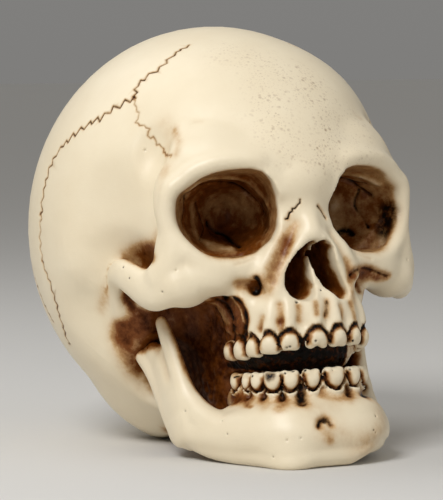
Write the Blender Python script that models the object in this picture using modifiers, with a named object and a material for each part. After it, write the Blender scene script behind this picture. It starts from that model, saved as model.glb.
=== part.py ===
"""Life-size human skull: a one-piece cast-resin model, parted along its sutures.

Sizes are in millimetres until MM turns them into metres. The face looks along -Y, the skull's own
left side is +X, and the model stands on the floor, z = 0, on its lower jaw and the flat under its
occiput. Forms are given for the left side and mirrored.
"""
import math

import bmesh
import bpy
import numpy as np
from mathutils import Matrix, Vector

MM = 0.001

# Resolution of the modelling and of what is handed over
SKIN_VOXEL = 1.7
JAW_VOXEL = 1.5
CRANIUM_TRIANGLES = 7600
JAW_TRIANGLES = 1900
CUT_GAP = 0.3
# Brings the middle of the model's length over the origin
CENTRING = 4.4

RESIN_COLOUR = (0.78, 0.69, 0.5, 1.0)
RESIN_ROUGHNESS = 0.45

# Braincase
CASE_CENTRE = (0.0, 5.2, 90.7)
CASE_RADII = (77.0, 93.3, 87.0)
FOREHEAD_NARROWING = 0.055
TEMPLE_HOLLOW_CENTRE = (74.0, -46.0, 92.0)
TEMPLE_HOLLOW_REACH = (30.0, 42.0, 46.0)
TEMPLE_HOLLOW_DEPTH = 13.0

# Rim of the orbit, lateral edge first, running over the top
ORBIT_RIM = (
    (51.4, -64.6, 102.3), (51.2, -65.1, 107.2), (49.9, -66.2, 110.4), (46.6, -67.8, 112.8),
    (43.3, -70.2, 116.0), (39.0, -72.5, 118.0), (34.1, -74.6, 119.1), (28.4, -76.6, 119.6),
    (24.5, -77.9, 119.7), (19.4, -78.5, 118.4), (15.4, -77.6, 114.7), (12.4, -76.2, 108.4),
    (11.4, -75.8, 101.5), (12.4, -76.7, 95.1), (15.7, -77.7, 90.4), (23.0, -78.5, 85.4),
    (29.4, -77.7, 84.0), (35.4, -76.2, 83.8), (40.9, -73.8, 85.1), (45.8, -70.1, 88.7),
    (49.4, -66.7, 93.9), (51.3, -65.0, 98.3),
)
# Solid resin behind the tooth rows: x, y, z and radius
MOUTH_FILL = ((0, -83, 48, 6.4), (9, -82, 48, 6.4), (16, -77, 47.5, 6.4), (19, -66, 46.5, 6.6), (19, -50, 46, 7.5))
# Outline of one half of the nasal opening, (x, z), from the spine up the septum and round
NOSE_RIM = (
    (1.3, 72.0), (1.2, 78.0), (1.2, 84.0), (1.6, 89.0), (3.7, 90.6), (6.0, 88.5), (8.0, 85.0), (9.6, 81.0),
    (11.3, 77.0), (13.0, 73.0), (13.6, 70.0), (12.2, 67.3), (8.5, 66.0), (4.8, 67.0), (2.2, 69.5),
)
ORBIT_MIDDLE = (31.0, -73.0, 102.0)
ORBIT_APEX = (17.0, -34.0, 98.0)

# Teeth of one side from the middle back: x, y, width, turn in degrees, drop of the biting edge
UPPER_TOOTH_Z = 52.8
LOWER_TOOTH_Z = 33.6
TOOTH_DEPTH = 6.4
TOOTH_HEIGHT = 11.0
UPPER_TEETH = (
    (5.0, -92.8, 9.4, 4, 0), (14.0, -90.3, 8.8, 18, 0.3), (21.3, -85.0, 8.0, 42, 0.8),
    (25.0, -77.6, 7.8, 72, 1.5), (26.6, -69.8, 8.2, 82, 2.3), (27.4, -61.4, 8.6, 86, 3.1),
)
LOWER_TEETH = (
    (4.8, -92.2, 8.6, 4, 0), (13.2, -90.0, 8.2, 16, 0.3), (20.4, -85.2, 7.8, 38, 0.8),
    (24.2, -78.0, 7.8, 68, 1.5), (25.6, -70.2, 8.0, 82, 2.3), (26.2, -62.0, 8.6, 86, 3.1),
)

# Lines along which the bones part, as (y, z)
CORONAL = [(-17, 176), (-20, 170), (-27, 146), (-56, 122), (-57, 107.5)]
SQUAMOSAL = [(-27, 146), (-21.5, 137.6), (1, 124), (19, 111), (20, 95)]
MASTOID = [(20, 95), (25, 69), (20, 47.5), (20, -20)]


def clear_scene():
    for obj in list(bpy.data.objects):
        bpy.data.objects.remove(obj)


def new_object(name, bm):
    mesh = bpy.data.meshes.new(name)
    bm.to_mesh(mesh)
    bm.free()
    obj = bpy.data.objects.new(name, mesh)
    bpy.context.scene.collection.objects.link(obj)
    return obj


def ball(bm, centre, radii, turn=(0, 0, 0), detail=2, mirror=False):
    """An ellipsoid turned by degrees about X, Y and Z."""
    for side in ((1, -1) if mirror else (1,)):
        place = Matrix.Translation(Vector((centre[0] * side, centre[1], centre[2])) * MM)
        place @= Matrix.Rotation(math.radians(turn[2] * side), 4, "Z")
        place @= Matrix.Rotation(math.radians(turn[1] * side), 4, "Y")
        place @= Matrix.Rotation(math.radians(turn[0]), 4, "X")
        place @= Matrix.Diagonal((radii[0] * MM, radii[1] * MM, radii[2] * MM, 1))
        bmesh.ops.create_icosphere(bm, subdivisions=detail, radius=1, matrix=place)


def block(bm, low, high, rounding, mirror=False):
    for side in ((1, -1) if mirror else (1,)):
        lo, hi = Vector(low), Vector(high)
        if side < 0:
            lo.x, hi.x = -hi.x, -lo.x
        size = hi - lo
        place = Matrix.Translation((lo + hi) / 2 * MM) @ Matrix.Diagonal((size.x * MM, size.y * MM, size.z * MM, 1))
        made = bmesh.ops.create_cube(bm, size=1, matrix=place)
        edges = list({e for v in made["verts"] for e in v.link_edges})
        bmesh.ops.bevel(bm, geom=edges, offset=rounding * MM, segments=5, profile=0.5, affect="EDGES", material=-1)


def smooth_path(knots, step=2.0):
    """Points about `step` apart along a smooth curve through the knots."""
    k = np.array(knots, float)
    k = np.vstack([2 * k[0] - k[1], k, 2 * k[-1] - k[-2]])
    points = []
    for a, b, c, d in zip(k[:-3], k[1:-2], k[2:-1], k[3:]):
        count = max(1, int(np.linalg.norm((c - b)[:3]) / step))
        for t in np.arange(count) / count:
            points.append(0.5 * (2 * b + (c - a) * t + (2 * a - 5 * b + 4 * c - d) * t * t
                                 + (3 * b - a - 3 * c + d) * t ** 3))
    points.append(k[-2])
    return np.array(points)


def strand(bm, knots, squeeze=(1, 1, 1), mirror=False, step=2.0, detail=2):
    """Overlapping balls along a smooth path of (x, y, z, radius)."""
    for x, y, z, radius in smooth_path(knots, step):
        ball(bm, (x, y, z), [radius * s for s in squeeze], detail=detail, mirror=mirror)


def loft(bm, rings, mirror=False):
    """A closed tube through rings of points, capped at both ends."""
    for side in ((1, -1) if mirror else (1,)):
        loops = [[bm.verts.new((p[0] * side * MM, p[1] * MM, p[2] * MM)) for p in ring] for ring in rings]
        faces = []
        for a, b in zip(loops[:-1], loops[1:]):
            for i in range(len(a)):
                j = (i + 1) % len(a)
                faces.append(bm.faces.new((a[i], a[j], b[j], b[i])))
        faces.append(bm.faces.new(loops[0][::-1]))
        faces.append(bm.faces.new(loops[-1]))
        bmesh.ops.recalc_face_normals(bm, faces=faces)


def apply_modifiers(obj):
    graph = bpy.context.evaluated_depsgraph_get()
    mesh = bpy.data.meshes.new_from_object(obj.evaluated_get(graph))
    obj.modifiers.clear()
    obj.data = mesh


def melt(obj, voxel, rounds):
    """One skin over all the overlapping forms, its creases softened."""
    skin = obj.modifiers.new("Skin", "REMESH")
    skin.mode = "VOXEL"
    skin.voxel_size = voxel * MM
    soften = obj.modifiers.new("Soften", "SMOOTH")
    soften.factor = 0.5
    soften.iterations = rounds
    apply_modifiers(obj)


def combine(obj, bm, operation="DIFFERENCE", solver="MANIFOLD"):
    tool = new_object("tool", bm)
    step = obj.modifiers.new("Combine", "BOOLEAN")
    step.operation = operation
    step.solver = solver
    step.object = tool
    apply_modifiers(obj)
    bpy.data.objects.remove(tool)


def add_forms(obj, bm):
    extra = bpy.data.meshes.new("extra")
    bm.to_mesh(extra)
    bm.free()
    both = bmesh.new()
    both.from_mesh(obj.data)
    both.from_mesh(extra)
    both.to_mesh(obj.data)
    both.free()


def get_points(obj):
    flat = np.empty(len(obj.data.vertices) * 3)
    obj.data.vertices.foreach_get("co", flat)
    return flat.reshape(-1, 3) / MM


def set_points(obj, points):
    obj.data.vertices.foreach_set("co", (points * MM).ravel())
    obj.data.update()


def push(obj, centre, reach, move, mirror=True):
    """A soft brush: moves the clay near a centre, fading out at its reach."""
    points = get_points(obj)
    for side in ((1, -1) if mirror else (1,)):
        middle = np.array([centre[0] * side, centre[1], centre[2]], float)
        distance = (((points - middle) / np.array(reach, float)) ** 2).sum(axis=1)
        weight = np.clip(1 - distance, 0, 1) ** 2
        points += weight[:, None] * np.array([move[0] * side, move[1], move[2]], float)
    set_points(obj, points)


def braincase():
    bm = bmesh.new()
    ball(bm, CASE_CENTRE, CASE_RADII, detail=6)
    ball(bm, (0, 14, 48), (56, 50, 52.5), detail=5)
    obj = new_object("cranium", bm)
    melt(obj, 2.0, 6)
    points = get_points(obj)
    ahead = np.clip(-(points[:, 1] + 5) / 75, 0, 1)
    below = np.clip((172 - points[:, 2]) / 35, 0, 1)
    points[:, 0] *= 1 - FOREHEAD_NARROWING * ahead * ahead * (3 - 2 * ahead) * below
    set_points(obj, points)
    push(obj, TEMPLE_HOLLOW_CENTRE, TEMPLE_HOLLOW_REACH, (-TEMPLE_HOLLOW_DEPTH, 0, 0))
    push(obj, (66, -34, 78), (22, 26, 20), (-13, 0, 0))
    push(obj, (70, -26, 58), (34, 34, 24), (-15, 0, 0))
    push(obj, (46, -42, 160), (50, 50, 30), (1.4, -1.6, 0.6))
    bm = bmesh.new()
    block(bm, (-110, -130, -30), (110, -58, 107), 7)
    combine(obj, bm)
    bm = bmesh.new()
    block(bm, (-110, -130, -30), (110, -44, 64), 8)
    combine(obj, bm)
    bm = bmesh.new()
    block(bm, (30, -130, -20), (120, -29, 67), 11, mirror=True)
    combine(obj, bm)
    bm = bmesh.new()
    ball(bm, (45, -27, 31), (20, 22, 21.5), detail=4, mirror=True)
    combine(obj, bm)
    bm = bmesh.new()
    ball(bm, (47, -13, 45.5), (9, 11, 9), detail=4, mirror=True)
    combine(obj, bm)
    bm = bmesh.new()
    ball(bm, (59, -38, 81), (10, 17, 9), detail=4, mirror=True)
    combine(obj, bm)
    bm = bmesh.new()
    underside = [(18, 0), (-60, 14), (-60, -40), (18, -40)]
    loft(bm, [[(x, y, z) for y, z in underside] for x in (-80, 80)])
    combine(obj, bm)
    melt(obj, 2.0, 8)
    return obj


def orbit_ring():
    """Centre line of the bony rim, standing outside the opening's own edge."""
    middle = np.array(ORBIT_MIDDLE)
    ring = []
    for point in ORBIT_RIM:
        out = np.array(point) - middle
        out[1] = 0
        out /= np.linalg.norm(out)
        centre = np.array(point) + out * 3.4 + np.array([0, 2.6, 0])
        ring.append((*centre, 4.0))
    return ring + ring[:1]


def brow(bm):
    strand(bm, orbit_ring(), mirror=True)
    # crest between forehead and temple, down the outer pillar of the orbit
    strand(bm, [(36, -37, 140, 6), (37.5, -46, 136.5, 7), (39.5, -53, 131.5, 7.2), (42.5, -57, 126, 7.5),
                (46, -57, 120, 7), (49.8, -57, 115, 6.4), (52.4, -57, 110, 5.8), (53.6, -58, 105, 5.1),
                (54, -60, 100, 4.6), (53.4, -61.6, 95, 4.7), (52.5, -63, 90, 5.3), (52, -63.4, 85, 6),
                (53, -61.5, 80, 7), (54.5, -58, 75, 8)], mirror=True)
    # fullness of the forehead over the orbits, and between them
    ball(bm, (25, -63, 123), (25, 11.5, 19), turn=(-27, 0, 14), mirror=True, detail=4)
    ball(bm, (0, -58, 114), (24, 27, 17), detail=4)
    ball(bm, (0, -60, 101), (14, 17.5, 16), detail=4)
    strand(bm, [(8, -73, 112, 7), (9, -72, 104, 6), (11, -74, 96, 5)], mirror=True)


def cheekbone(bm):
    ball(bm, (47, -63, 73), (12, 9.5, 10), mirror=True, detail=3)
    ball(bm, (36, -66, 76), (13, 10, 8), mirror=True, detail=3)
    strand(bm, [(53.5, -60, 71.5, 8.8), (57, -54.5, 70, 8.6), (59, -48.5, 72, 8.1), (60.3, -42, 74.5, 7.6),
                (61.2, -35.5, 76.3, 7.4), (60.9, -29, 75.6, 7), (59.6, -24, 72, 5.8), (58, -20, 66, 4.9),
                (56.8, -18.5, 60, 4.8), (55.6, -14.5, 56.5, 5), (53, -9, 54.5, 6)], squeeze=(0.65, 1, 1), mirror=True)


def upper_jaw_forms(bm):
    ball(bm, (0, -60, 70), (25, 27, 20), detail=3)
    strand(bm, [(0, -88.5, 62, 6), (10, -87, 62, 6), (18, -82.5, 62, 6), (22.5, -76, 62, 6), (24, -67, 62, 6),
                (24, -56, 62, 6)], squeeze=(1, 1, 1.15), mirror=True)
    # buttress from the cheekbone to the tooth row
    strand(bm, [(42, -66, 71, 5), (34, -68, 73, 5), (28, -71, 71.5, 5), (25, -74, 66, 4.5), (23.5, -75, 60, 4.5),
                (23, -75, 55, 4.5)], mirror=True)
    # side of the nose
    strand(bm, [(6.5, -77, 108, 4.5), (9, -79, 100, 4.2), (12, -81.5, 91, 4), (15.5, -83, 82, 4), (17.5, -84, 74, 4),
                (14, -86, 66.5, 4)], mirror=True)
    ball(bm, (0, -84, 67.5), (5, 5.5, 4), detail=3)
    ball(bm, (0, -64, 88), (14, 18, 24), detail=4)


def nose_bones(bm):
    strand(bm, [(0, -75, 110, 6.5), (0, -76.8, 104.5, 5), (0, -80, 99.5, 4.7), (0, -83.2, 95.5, 4.4), (0, -84.4, 94, 4.2)],
           squeeze=(1, 1, 1))


def mouth_fill(bm):
    strand(bm, MOUTH_FILL, squeeze=(1, 1, 1.75), mirror=True)
    block(bm, (-16, -70, 43), (16, -40, 70), 5)
    block(bm, (-30, -50, 8), (30, -5, 70), 6)


def cut_openings(obj):
    bm = bmesh.new()
    rim = np.array(ORBIT_RIM)
    middle, apex = np.array(ORBIT_MIDDLE), np.array(ORBIT_APEX)
    rings = [rim + (rim - middle) * 0.12 + np.array([2, -14, 0])]
    rings.append(rim + np.array([0, -1.2, 0]))
    for share, size in ((0.15, 1.0), (0.4, 0.93), (0.65, 0.76), (0.85, 0.5), (0.97, 0.22)):
        rings.append(middle + (apex - middle) * share + (rim - middle) * size * np.array([1, 1 - share, 1]))
    loft(bm, rings, mirror=True)
    rings = [[(x, y, z) for x, z in NOSE_RIM] for y in (-115, -78)]
    rings += [[(5 + (x - 5) * size, y, 77 + (z - 77) * size) for x, z in NOSE_RIM] for y, size in ((-70, 0.85), (-64, 0.5))]
    loft(bm, rings, mirror=True)
    combine(obj, bm)


def cranium():
    obj = braincase()
    bm = bmesh.new()
    brow(bm)
    cheekbone(bm)
    upper_jaw_forms(bm)
    nose_bones(bm)
    mouth_fill(bm)
    add_forms(obj, bm)
    melt(obj, SKIN_VOXEL, 5)
    cut_openings(obj)
    melt(obj, SKIN_VOXEL, 1)
    bm = bmesh.new()
    block(bm, (-150, -150, -60), (150, 150, 0), 1)
    combine(obj, bm)
    return obj


def mandible():
    bm = bmesh.new()
    # lower border and chin
    strand(bm, [(0, -97.5, 12, 10.5), (11, -97.5, 12, 10.5), (18, -95.2, 12, 10.3), (24, -88, 12, 9.5),
                (29.5, -78, 11.5, 8.8), (34, -68, 11, 8.2), (38.5, -57, 11.5, 7.5)], squeeze=(0.9, 0.92, 1.0), mirror=True)
    strand(bm, [(0, -101.8, 4.9, 5), (9, -101.8, 4.8, 5), (15, -101.3, 4.6, 5), (20, -98.5, 4.4, 5), (24.5, -91, 4.4, 5),
                (28.5, -82, 4.6, 5), (32, -74, 4.8, 5), (36, -65, 5.2, 5), (39.5, -56, 6.4, 5)], mirror=True)
    strand(bm, [(0, -96, 19, 8.5), (12, -96, 19, 8.5), (19.5, -93, 18.5, 8.3), (26, -85, 17, 7.3), (31.5, -75, 15.5, 6.8)],
           squeeze=(0.9, 1, 1), mirror=True)
    # tooth-bearing ridge
    strand(bm, [(0, -87, 27, 6), (11, -85, 27, 6), (18.5, -79.5, 27, 6), (22.5, -71, 27, 6), (24.5, -60, 27, 6)],
           squeeze=(0.9, 1.05, 1.35), mirror=True)
    # back of the ramus up to the condyle
    strand(bm, [(46.5, -9.5, 46, 3.6), (45.5, -15, 41, 3.6), (44, -22.5, 33, 4), (42.5, -31, 22, 5), (41, -40, 13, 6.2),
                (39, -50, 10, 7.2)], squeeze=(0.8, 1, 1), mirror=True)
    # front of the ramus up to the coronoid
    strand(bm, [(44.5, -32, 55, 3.0), (44, -36, 50, 3.6), (43, -39.5, 42, 4.2), (42, -42.5, 34, 5), (40.5, -47, 25, 6),
                (38, -56, 17.5, 7.5), (35, -66, 14, 7.5)], squeeze=(0.8, 1, 1), mirror=True)
    # the plate between them
    for y, z, width, height in ((-27, 40, 8, 9), (-32, 32, 12, 10), (-38, 23, 12, 10), (-45, 15, 11, 9)):
        ball(bm, (42.4, y, z), (3.7, width, height), mirror=True, turn=(0, 0, 6), detail=3)
    obj = new_object("mandible", bm)
    melt(obj, JAW_VOXEL, 4)
    bm = bmesh.new()
    block(bm, (-150, -150, -60), (150, 150, 0), 1)
    combine(obj, bm)
    return obj


def tooth(bm, centre, width, depth, height, turn, flare):
    """A rounded block, squarer than a ball, wider by `flare` at its biting edge (negative z: lower jaw)."""
    place = Matrix.Translation(Vector(centre) * MM) @ Matrix.Rotation(math.radians(turn), 4, "Z")
    made = bmesh.ops.create_icosphere(bm, subdivisions=2, radius=1)["verts"]
    for vert in made:
        shape = [math.copysign(abs(c) ** 0.72, c) for c in vert.co]
        wide = 1 - flare * shape[2]
        vert.co = place @ Vector((shape[0] * width / 2 * wide * MM, shape[1] * depth / 2 * MM, shape[2] * height / 2 * MM))


def add_teeth(jaw, z, rows, flare, beside=None):
    """Fuses every tooth of one jaw to it, side by side, and keeps a gap to the node beside them."""
    for x, y, width, turn, drop in rows:
        for side in (1, -1):
            place = (x * side, y, z - drop)
            bm = bmesh.new()
            tooth(bm, place, width, TOOTH_DEPTH, TOOTH_HEIGHT, turn * side, flare)
            combine(jaw, bm, "UNION")
            if beside:
                room = 3 * CUT_GAP
                bm = bmesh.new()
                tooth(bm, place, width + room, TOOTH_DEPTH + room, TOOTH_HEIGHT + room, turn * side, flare)
                combine(beside, bm)


def decimate(obj, triangles):
    count = sum(len(p.vertices) - 2 for p in obj.data.polygons)
    fewer = obj.modifiers.new("Fewer", "DECIMATE")
    fewer.ratio = triangles / count
    fewer.use_collapse_triangulate = True
    apply_modifiers(obj)


def keep_largest(obj):
    """Drops every closed surface but the largest."""
    bm = bmesh.new()
    bm.from_mesh(obj.data)
    bm.verts.ensure_lookup_table()
    seen, groups = set(), []
    for start in bm.verts:
        if start in seen:
            continue
        stack, group = [start], []
        seen.add(start)
        while stack:
            vert = stack.pop()
            group.append(vert)
            for edge in vert.link_edges:
                other = edge.other_vert(vert)
                if other not in seen:
                    seen.add(other)
                    stack.append(other)
        groups.append(group)
    groups.sort(key=len, reverse=True)
    spare = [v for group in groups[1:] for v in group]
    if spare:
        print(obj.name, "drops", [len(group) for group in groups[1:]])
        bmesh.ops.delete(bm, geom=spare, context="VERTS")
    bm.to_mesh(obj.data)
    bm.free()


def grown(outline, by):
    """The outline moved outward by `by`, corners mitred; points run anticlockwise."""
    points = [Vector(p) for p in outline]
    result = []
    for i, point in enumerate(points):
        before = (point - points[i - 1]).normalized()
        after = (points[(i + 1) % len(points)] - point).normalized()
        normal_a = Vector((before.y, -before.x))
        normal_b = Vector((after.y, -after.x))
        result.append(point + (normal_a + normal_b) * by / (1 + normal_a.dot(normal_b)))
    return result


def prism(outline, plane, low, high, by=0.0):
    """A closed prism on an outline in the YZ, XY or XZ plane."""
    area = sum(a[0] * b[1] - b[0] * a[1] for a, b in zip(outline, outline[1:] + outline[:1]))
    ring = grown(outline if area > 0 else outline[::-1], by)
    ends = (low - by, high + by)
    bm = bmesh.new()
    if plane == "YZ":
        loft(bm, [[(x, y, z) for y, z in ring] for x in ends])
    elif plane == "XZ":
        loft(bm, [[(x, y, z) for x, z in ring] for y in ends])
    else:
        loft(bm, [[(x, y, z) for x, y in ring] for z in ends])
    return bm


def shared_space(prisms, by=0.0):
    """What all the prisms have in common, as one closed solid."""
    solid = new_object("space", prism(*prisms[0], by))
    for other in prisms[1:]:
        combine(solid, prism(*other, by), "INTERSECT")
    bm = bmesh.new()
    bm.from_mesh(solid.data)
    bpy.data.objects.remove(solid)
    return bm


def claim(rest, name, *prisms):
    """Takes what lies in the prisms off the rest as a bone of its own, a thin gap between them."""
    bone = rest.copy()
    bone.data = rest.data.copy()
    bone.name = name
    bone.data.name = name
    bpy.context.scene.collection.objects.link(bone)
    combine(bone, shared_space(prisms), "INTERSECT")
    combine(rest, shared_space(prisms, CUT_GAP))
    keep_largest(bone)
    return bone


def part_bones(rest):
    nose = [(-4.4, 105.5), (-6.2, 92.5), (-5.2, 89.6), (5.2, 89.6), (6.2, 92.5), (4.4, 105.5)]
    bones = [claim(rest, "nasal_bones", (nose, "XZ", -130, -78.5))]
    frontal = [(-17, 200)] + CORONAL + [(-130, 107.5), (-130, 200)]
    bones.append(claim(rest, "frontal_bone", (frontal, "YZ", -120, 120)))
    parietal = [(-130, 200), (-130, 146)] + SQUAMOSAL + [(88, 128), (130, 148), (130, 200)]
    for side, low, high in (("right", -120, -CUT_GAP), ("left", 0, 120)):
        bones.append(claim(rest, "parietal_" + side, (parietal, "YZ", low, high)))
    occipital = MASTOID + [(130, -20), (130, 148), (88, 128)]
    bones.append(claim(rest, "occipital_bone", (occipital, "YZ", -120, 120)))
    cheek_plan = [(29, -130), (29, -72), (44, -58.5), (50, -50), (51.5, -30), (90, -30), (90, -130)]
    cheek_side = [(-130, 50), (-30, 50), (-30, 84.6), (-52, 86), (-55.5, 92), (-55.5, 107.2), (-130, 107.2)]
    for side, sign in (("right", -1), ("left", 1)):
        plan = [(x * sign, y) for x, y in cheek_plan]
        bones.append(claim(rest, "cheekbone_" + side, (plan, "XY", 50, 107.2), (cheek_side, "YZ", -100, 100)))
    jaw = [(-130, 46.5), (-58, 46.5), (-58, 107.2), (-130, 107.2)]
    bones.append(claim(rest, "upper_jaw", (jaw, "YZ", -60, 60)))
    temporal = [(-60, 30), (19.7, 30), (30, 180), (-60, 180)]
    for side, low, high in (("right", -120, -34), ("left", 34, 120)):
        bones.append(claim(rest, "temporal_" + side, (temporal, "YZ", low, high)))
    rest.name = rest.data.name = "skull_base"
    keep_largest(rest)
    return bones + [rest]


def finish(objects):
    """Gives each bone a material of its own and puts them all in the object's collection."""
    home = bpy.data.collections.new("human_skull")
    bpy.context.scene.collection.children.link(home)
    for obj in objects:
        set_points(obj, get_points(obj) + np.array([0, CENTRING, 0]))
        material = bpy.data.materials.new(obj.name)
        material.use_nodes = True
        shader = material.node_tree.nodes["Principled BSDF"]
        shader.inputs["Base Color"].default_value = RESIN_COLOUR
        shader.inputs["Roughness"].default_value = RESIN_ROUGHNESS
        obj.data.materials.clear()
        obj.data.materials.append(material)
        for collection in obj.users_collection:
            collection.objects.unlink(obj)
        home.objects.link(obj)


def main():
    clear_scene()
    skull = cranium()
    decimate(skull, CRANIUM_TRIANGLES)
    bones = part_bones(skull)
    upper = next(bone for bone in bones if bone.name == "upper_jaw")
    add_teeth(upper, UPPER_TOOTH_Z, UPPER_TEETH, 0.12, beside=bones[-1])
    keep_largest(upper)
    keep_largest(bones[-1])
    jaw = mandible()
    decimate(jaw, JAW_TRIANGLES)
    jaw.name = jaw.data.name = "lower_jaw"
    add_teeth(jaw, LOWER_TOOTH_Z, LOWER_TEETH, -0.12)
    bm = bmesh.new()
    strand(bm, [(x, y, z, r + 1.2) for x, y, z, r in MOUTH_FILL], squeeze=(1, 1, 1.75), mirror=True)
    fat = new_object("fat", bm)
    melt(fat, 2.0, 0)
    bm = bmesh.new()
    bm.from_mesh(fat.data)
    bpy.data.objects.remove(fat)
    combine(jaw, bm)
    keep_largest(jaw)
    finish(bones + [jaw])
    for bone in bones + [jaw]:
        print(bone.name, sum(len(p.vertices) - 2 for p in bone.data.polygons))


if __name__ == "__main__":
    main()
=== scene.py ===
"""Looks of the life-size cast-resin human skull.

The skull is modelled in millimetres like soft clay: rounded forms are melted into one skin, hollows are
cut, and soft brushes and engraved marks finish it. The face looks along -Y and the skull's own left side
is +X. Each piece is moved over the frame's origin and turned into metres when it is cast.
"""
from __future__ import annotations

import logging
import math
from dataclasses import dataclass, replace
from enum import Enum

import bmesh
import bpy
import numpy as np
from mathutils import Matrix, Vector, noise
from mathutils.bvhtree import BVHTree
from mathutils.kdtree import KDTree

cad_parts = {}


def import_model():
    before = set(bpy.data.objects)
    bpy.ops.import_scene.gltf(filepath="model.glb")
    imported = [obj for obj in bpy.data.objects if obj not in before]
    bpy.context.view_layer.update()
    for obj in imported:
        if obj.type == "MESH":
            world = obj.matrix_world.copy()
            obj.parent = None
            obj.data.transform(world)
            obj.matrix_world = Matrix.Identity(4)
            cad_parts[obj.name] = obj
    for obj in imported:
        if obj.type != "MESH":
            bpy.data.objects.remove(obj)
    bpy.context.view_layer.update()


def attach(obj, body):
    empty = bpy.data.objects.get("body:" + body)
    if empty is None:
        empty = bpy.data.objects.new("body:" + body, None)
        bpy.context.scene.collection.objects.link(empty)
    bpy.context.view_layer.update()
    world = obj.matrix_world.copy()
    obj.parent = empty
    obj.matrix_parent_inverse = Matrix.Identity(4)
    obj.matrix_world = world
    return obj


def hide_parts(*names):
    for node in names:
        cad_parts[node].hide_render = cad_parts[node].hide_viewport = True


LOG = logging.getLogger("skull")

MM = 0.001
# Moves the sculpted skull over the middle of the frame, in mm
CENTRING = 4.4
IMAGE_LONG_SIDE = 500
SENSOR = 36.0
# Depth that stands for a place outside both orbits, in mm
OUTSIDE = -99.0
# Reach and longest edge, in mm, of each pass that splits faces near fine cuts
SPLIT_PASSES = ((1.3, 1.6), (1.1, 1.0), (0.85, 0.62), (0.55, 0.42))
# Marks narrower than this, in mm, count as fine cuts
FINE_WIDTH = 1.2

Pair = tuple[float, float]
Pixel = Pair
Point = tuple[float, float, float]
Knot = tuple[float, float, float, float]
Push = tuple[Point, Point, Point]


class Hand(Enum):
    """Which sides of the skull a form is made on."""

    BOTH = (1, -1)
    MIDDLE = (1,)


def sides(mirror: bool) -> tuple[int, ...]:
    """Signs of X on which a form is made."""
    return Hand.BOTH.value if mirror else Hand.MIDDLE.value


def linear(code: str) -> tuple[float, float, float, float]:
    """Turns an sRGB hex value into a linear colour.

    Args:
        code: Six hex digits.

    Returns:
        Linear red, green, blue and an alpha of 1.
    """
    parts = [int(code[i:i + 2], 16) / 255 for i in (0, 2, 4)]
    return tuple(c / 12.92 if c <= 0.04045 else ((c + 0.055) / 1.055) ** 2.4 for c in parts) + (1.0,)


def fade(distance: np.ndarray) -> np.ndarray:
    """A soft brush's weight: 1 in the middle, 0 at a distance of 1."""
    return np.clip(1 - distance * distance, 0, 1) ** 2


def step_up(values: np.ndarray, low: float, high: float) -> np.ndarray:
    """Rises smoothly from 0 at low to 1 at high."""
    t = np.clip((values - low) / (high - low), 0, 1)
    return t * t * (3 - 2 * t)


def smooth_path(knots: list | tuple, step: float = 1.6) -> np.ndarray:
    """Points along a smooth curve through the knots.

    Args:
        knots: Points, which may carry a radius as a fourth number.
        step: Distance between the points in mm.

    Returns:
        One row per point.
    """
    k = np.array(knots, float)
    k = np.vstack([2 * k[0] - k[1], k, 2 * k[-1] - k[-2]])
    points = []
    for a, b, c, d in zip(k[:-3], k[1:-2], k[2:-1], k[3:]):
        count = max(1, int(np.linalg.norm((c - b)[:3]) / step))
        for t in np.arange(count) / count:
            points.append(0.5 * (2 * b + (c - a) * t + (2 * a - 5 * b + 4 * c - d) * t * t
                                 + (3 * b - a - 3 * c + d) * t ** 3))
    points.append(k[-2])
    return np.array(points)


@dataclass(frozen=True)
class Lump:
    """A ball of clay: its middle, its half sizes and its turn about X, Y and Z in degrees."""

    centre: Point
    radii: Point
    turn: Point = (0, 0, 0)
    detail: int = 3
    mirror: bool = True

    def lay(self, bm: bmesh.types.BMesh) -> None:
        """Adds the ball, and its mirror image where it has one."""
        for side in sides(self.mirror):
            place = Matrix.Translation((self.centre[0] * side, self.centre[1], self.centre[2]))
            place @= Matrix.Rotation(math.radians(self.turn[2] * side), 4, "Z")
            place @= Matrix.Rotation(math.radians(self.turn[1] * side), 4, "Y")
            place @= Matrix.Rotation(math.radians(self.turn[0]), 4, "X")
            place @= Matrix.Diagonal((*self.radii, 1))
            bmesh.ops.create_icosphere(bm, subdivisions=self.detail, radius=1, matrix=place)


@dataclass(frozen=True)
class Roll:
    """A roll of clay: balls along a smooth path of (x, y, z, radius).

    Squeeze is the share of the radius along X, Y and Z, and step the distance between the balls.
    """

    knots: tuple[Knot, ...]
    squeeze: Point = (1, 1, 1)
    step: float = 1.6
    detail: int = 2
    mirror: bool = True

    def lay(self, bm: bmesh.types.BMesh) -> None:
        """Adds the roll, and its mirror image where it has one."""
        for x, y, z, radius in smooth_path(self.knots, self.step):
            radii = tuple(radius * share for share in self.squeeze)
            Lump((x, y, z), radii, detail=self.detail, mirror=self.mirror).lay(bm)


@dataclass(frozen=True)
class Block:
    """A box with rounded edges between its lowest and its highest corner."""

    low: Point
    high: Point
    rounding: float
    mirror: bool = False

    def lay(self, bm: bmesh.types.BMesh) -> None:
        """Adds the box, and its mirror image where it has one."""
        for side in sides(self.mirror):
            lo, hi = Vector(self.low), Vector(self.high)
            if side < 0:
                lo.x, hi.x = -hi.x, -lo.x
            place = Matrix.Translation((lo + hi) / 2) @ Matrix.Diagonal((*(hi - lo), 1))
            made = bmesh.ops.create_cube(bm, size=1, matrix=place)
            edges = list({e for v in made["verts"] for e in v.link_edges})
            bmesh.ops.bevel(bm, geom=edges, offset=self.rounding, segments=5, profile=0.5, affect="EDGES",
                            material=-1)


Form = Lump | Roll | Block


def lay(*forms: Form) -> bmesh.types.BMesh:
    """Lays forms into one new bmesh, in the order given."""
    bm = bmesh.new()
    for form in forms:
        form.lay(bm)
    return bm


# What stands under the skull, cut off so that it lies flat
TABLE = Block((-150, -150, -60), (150, 150, 0), 1)


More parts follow.
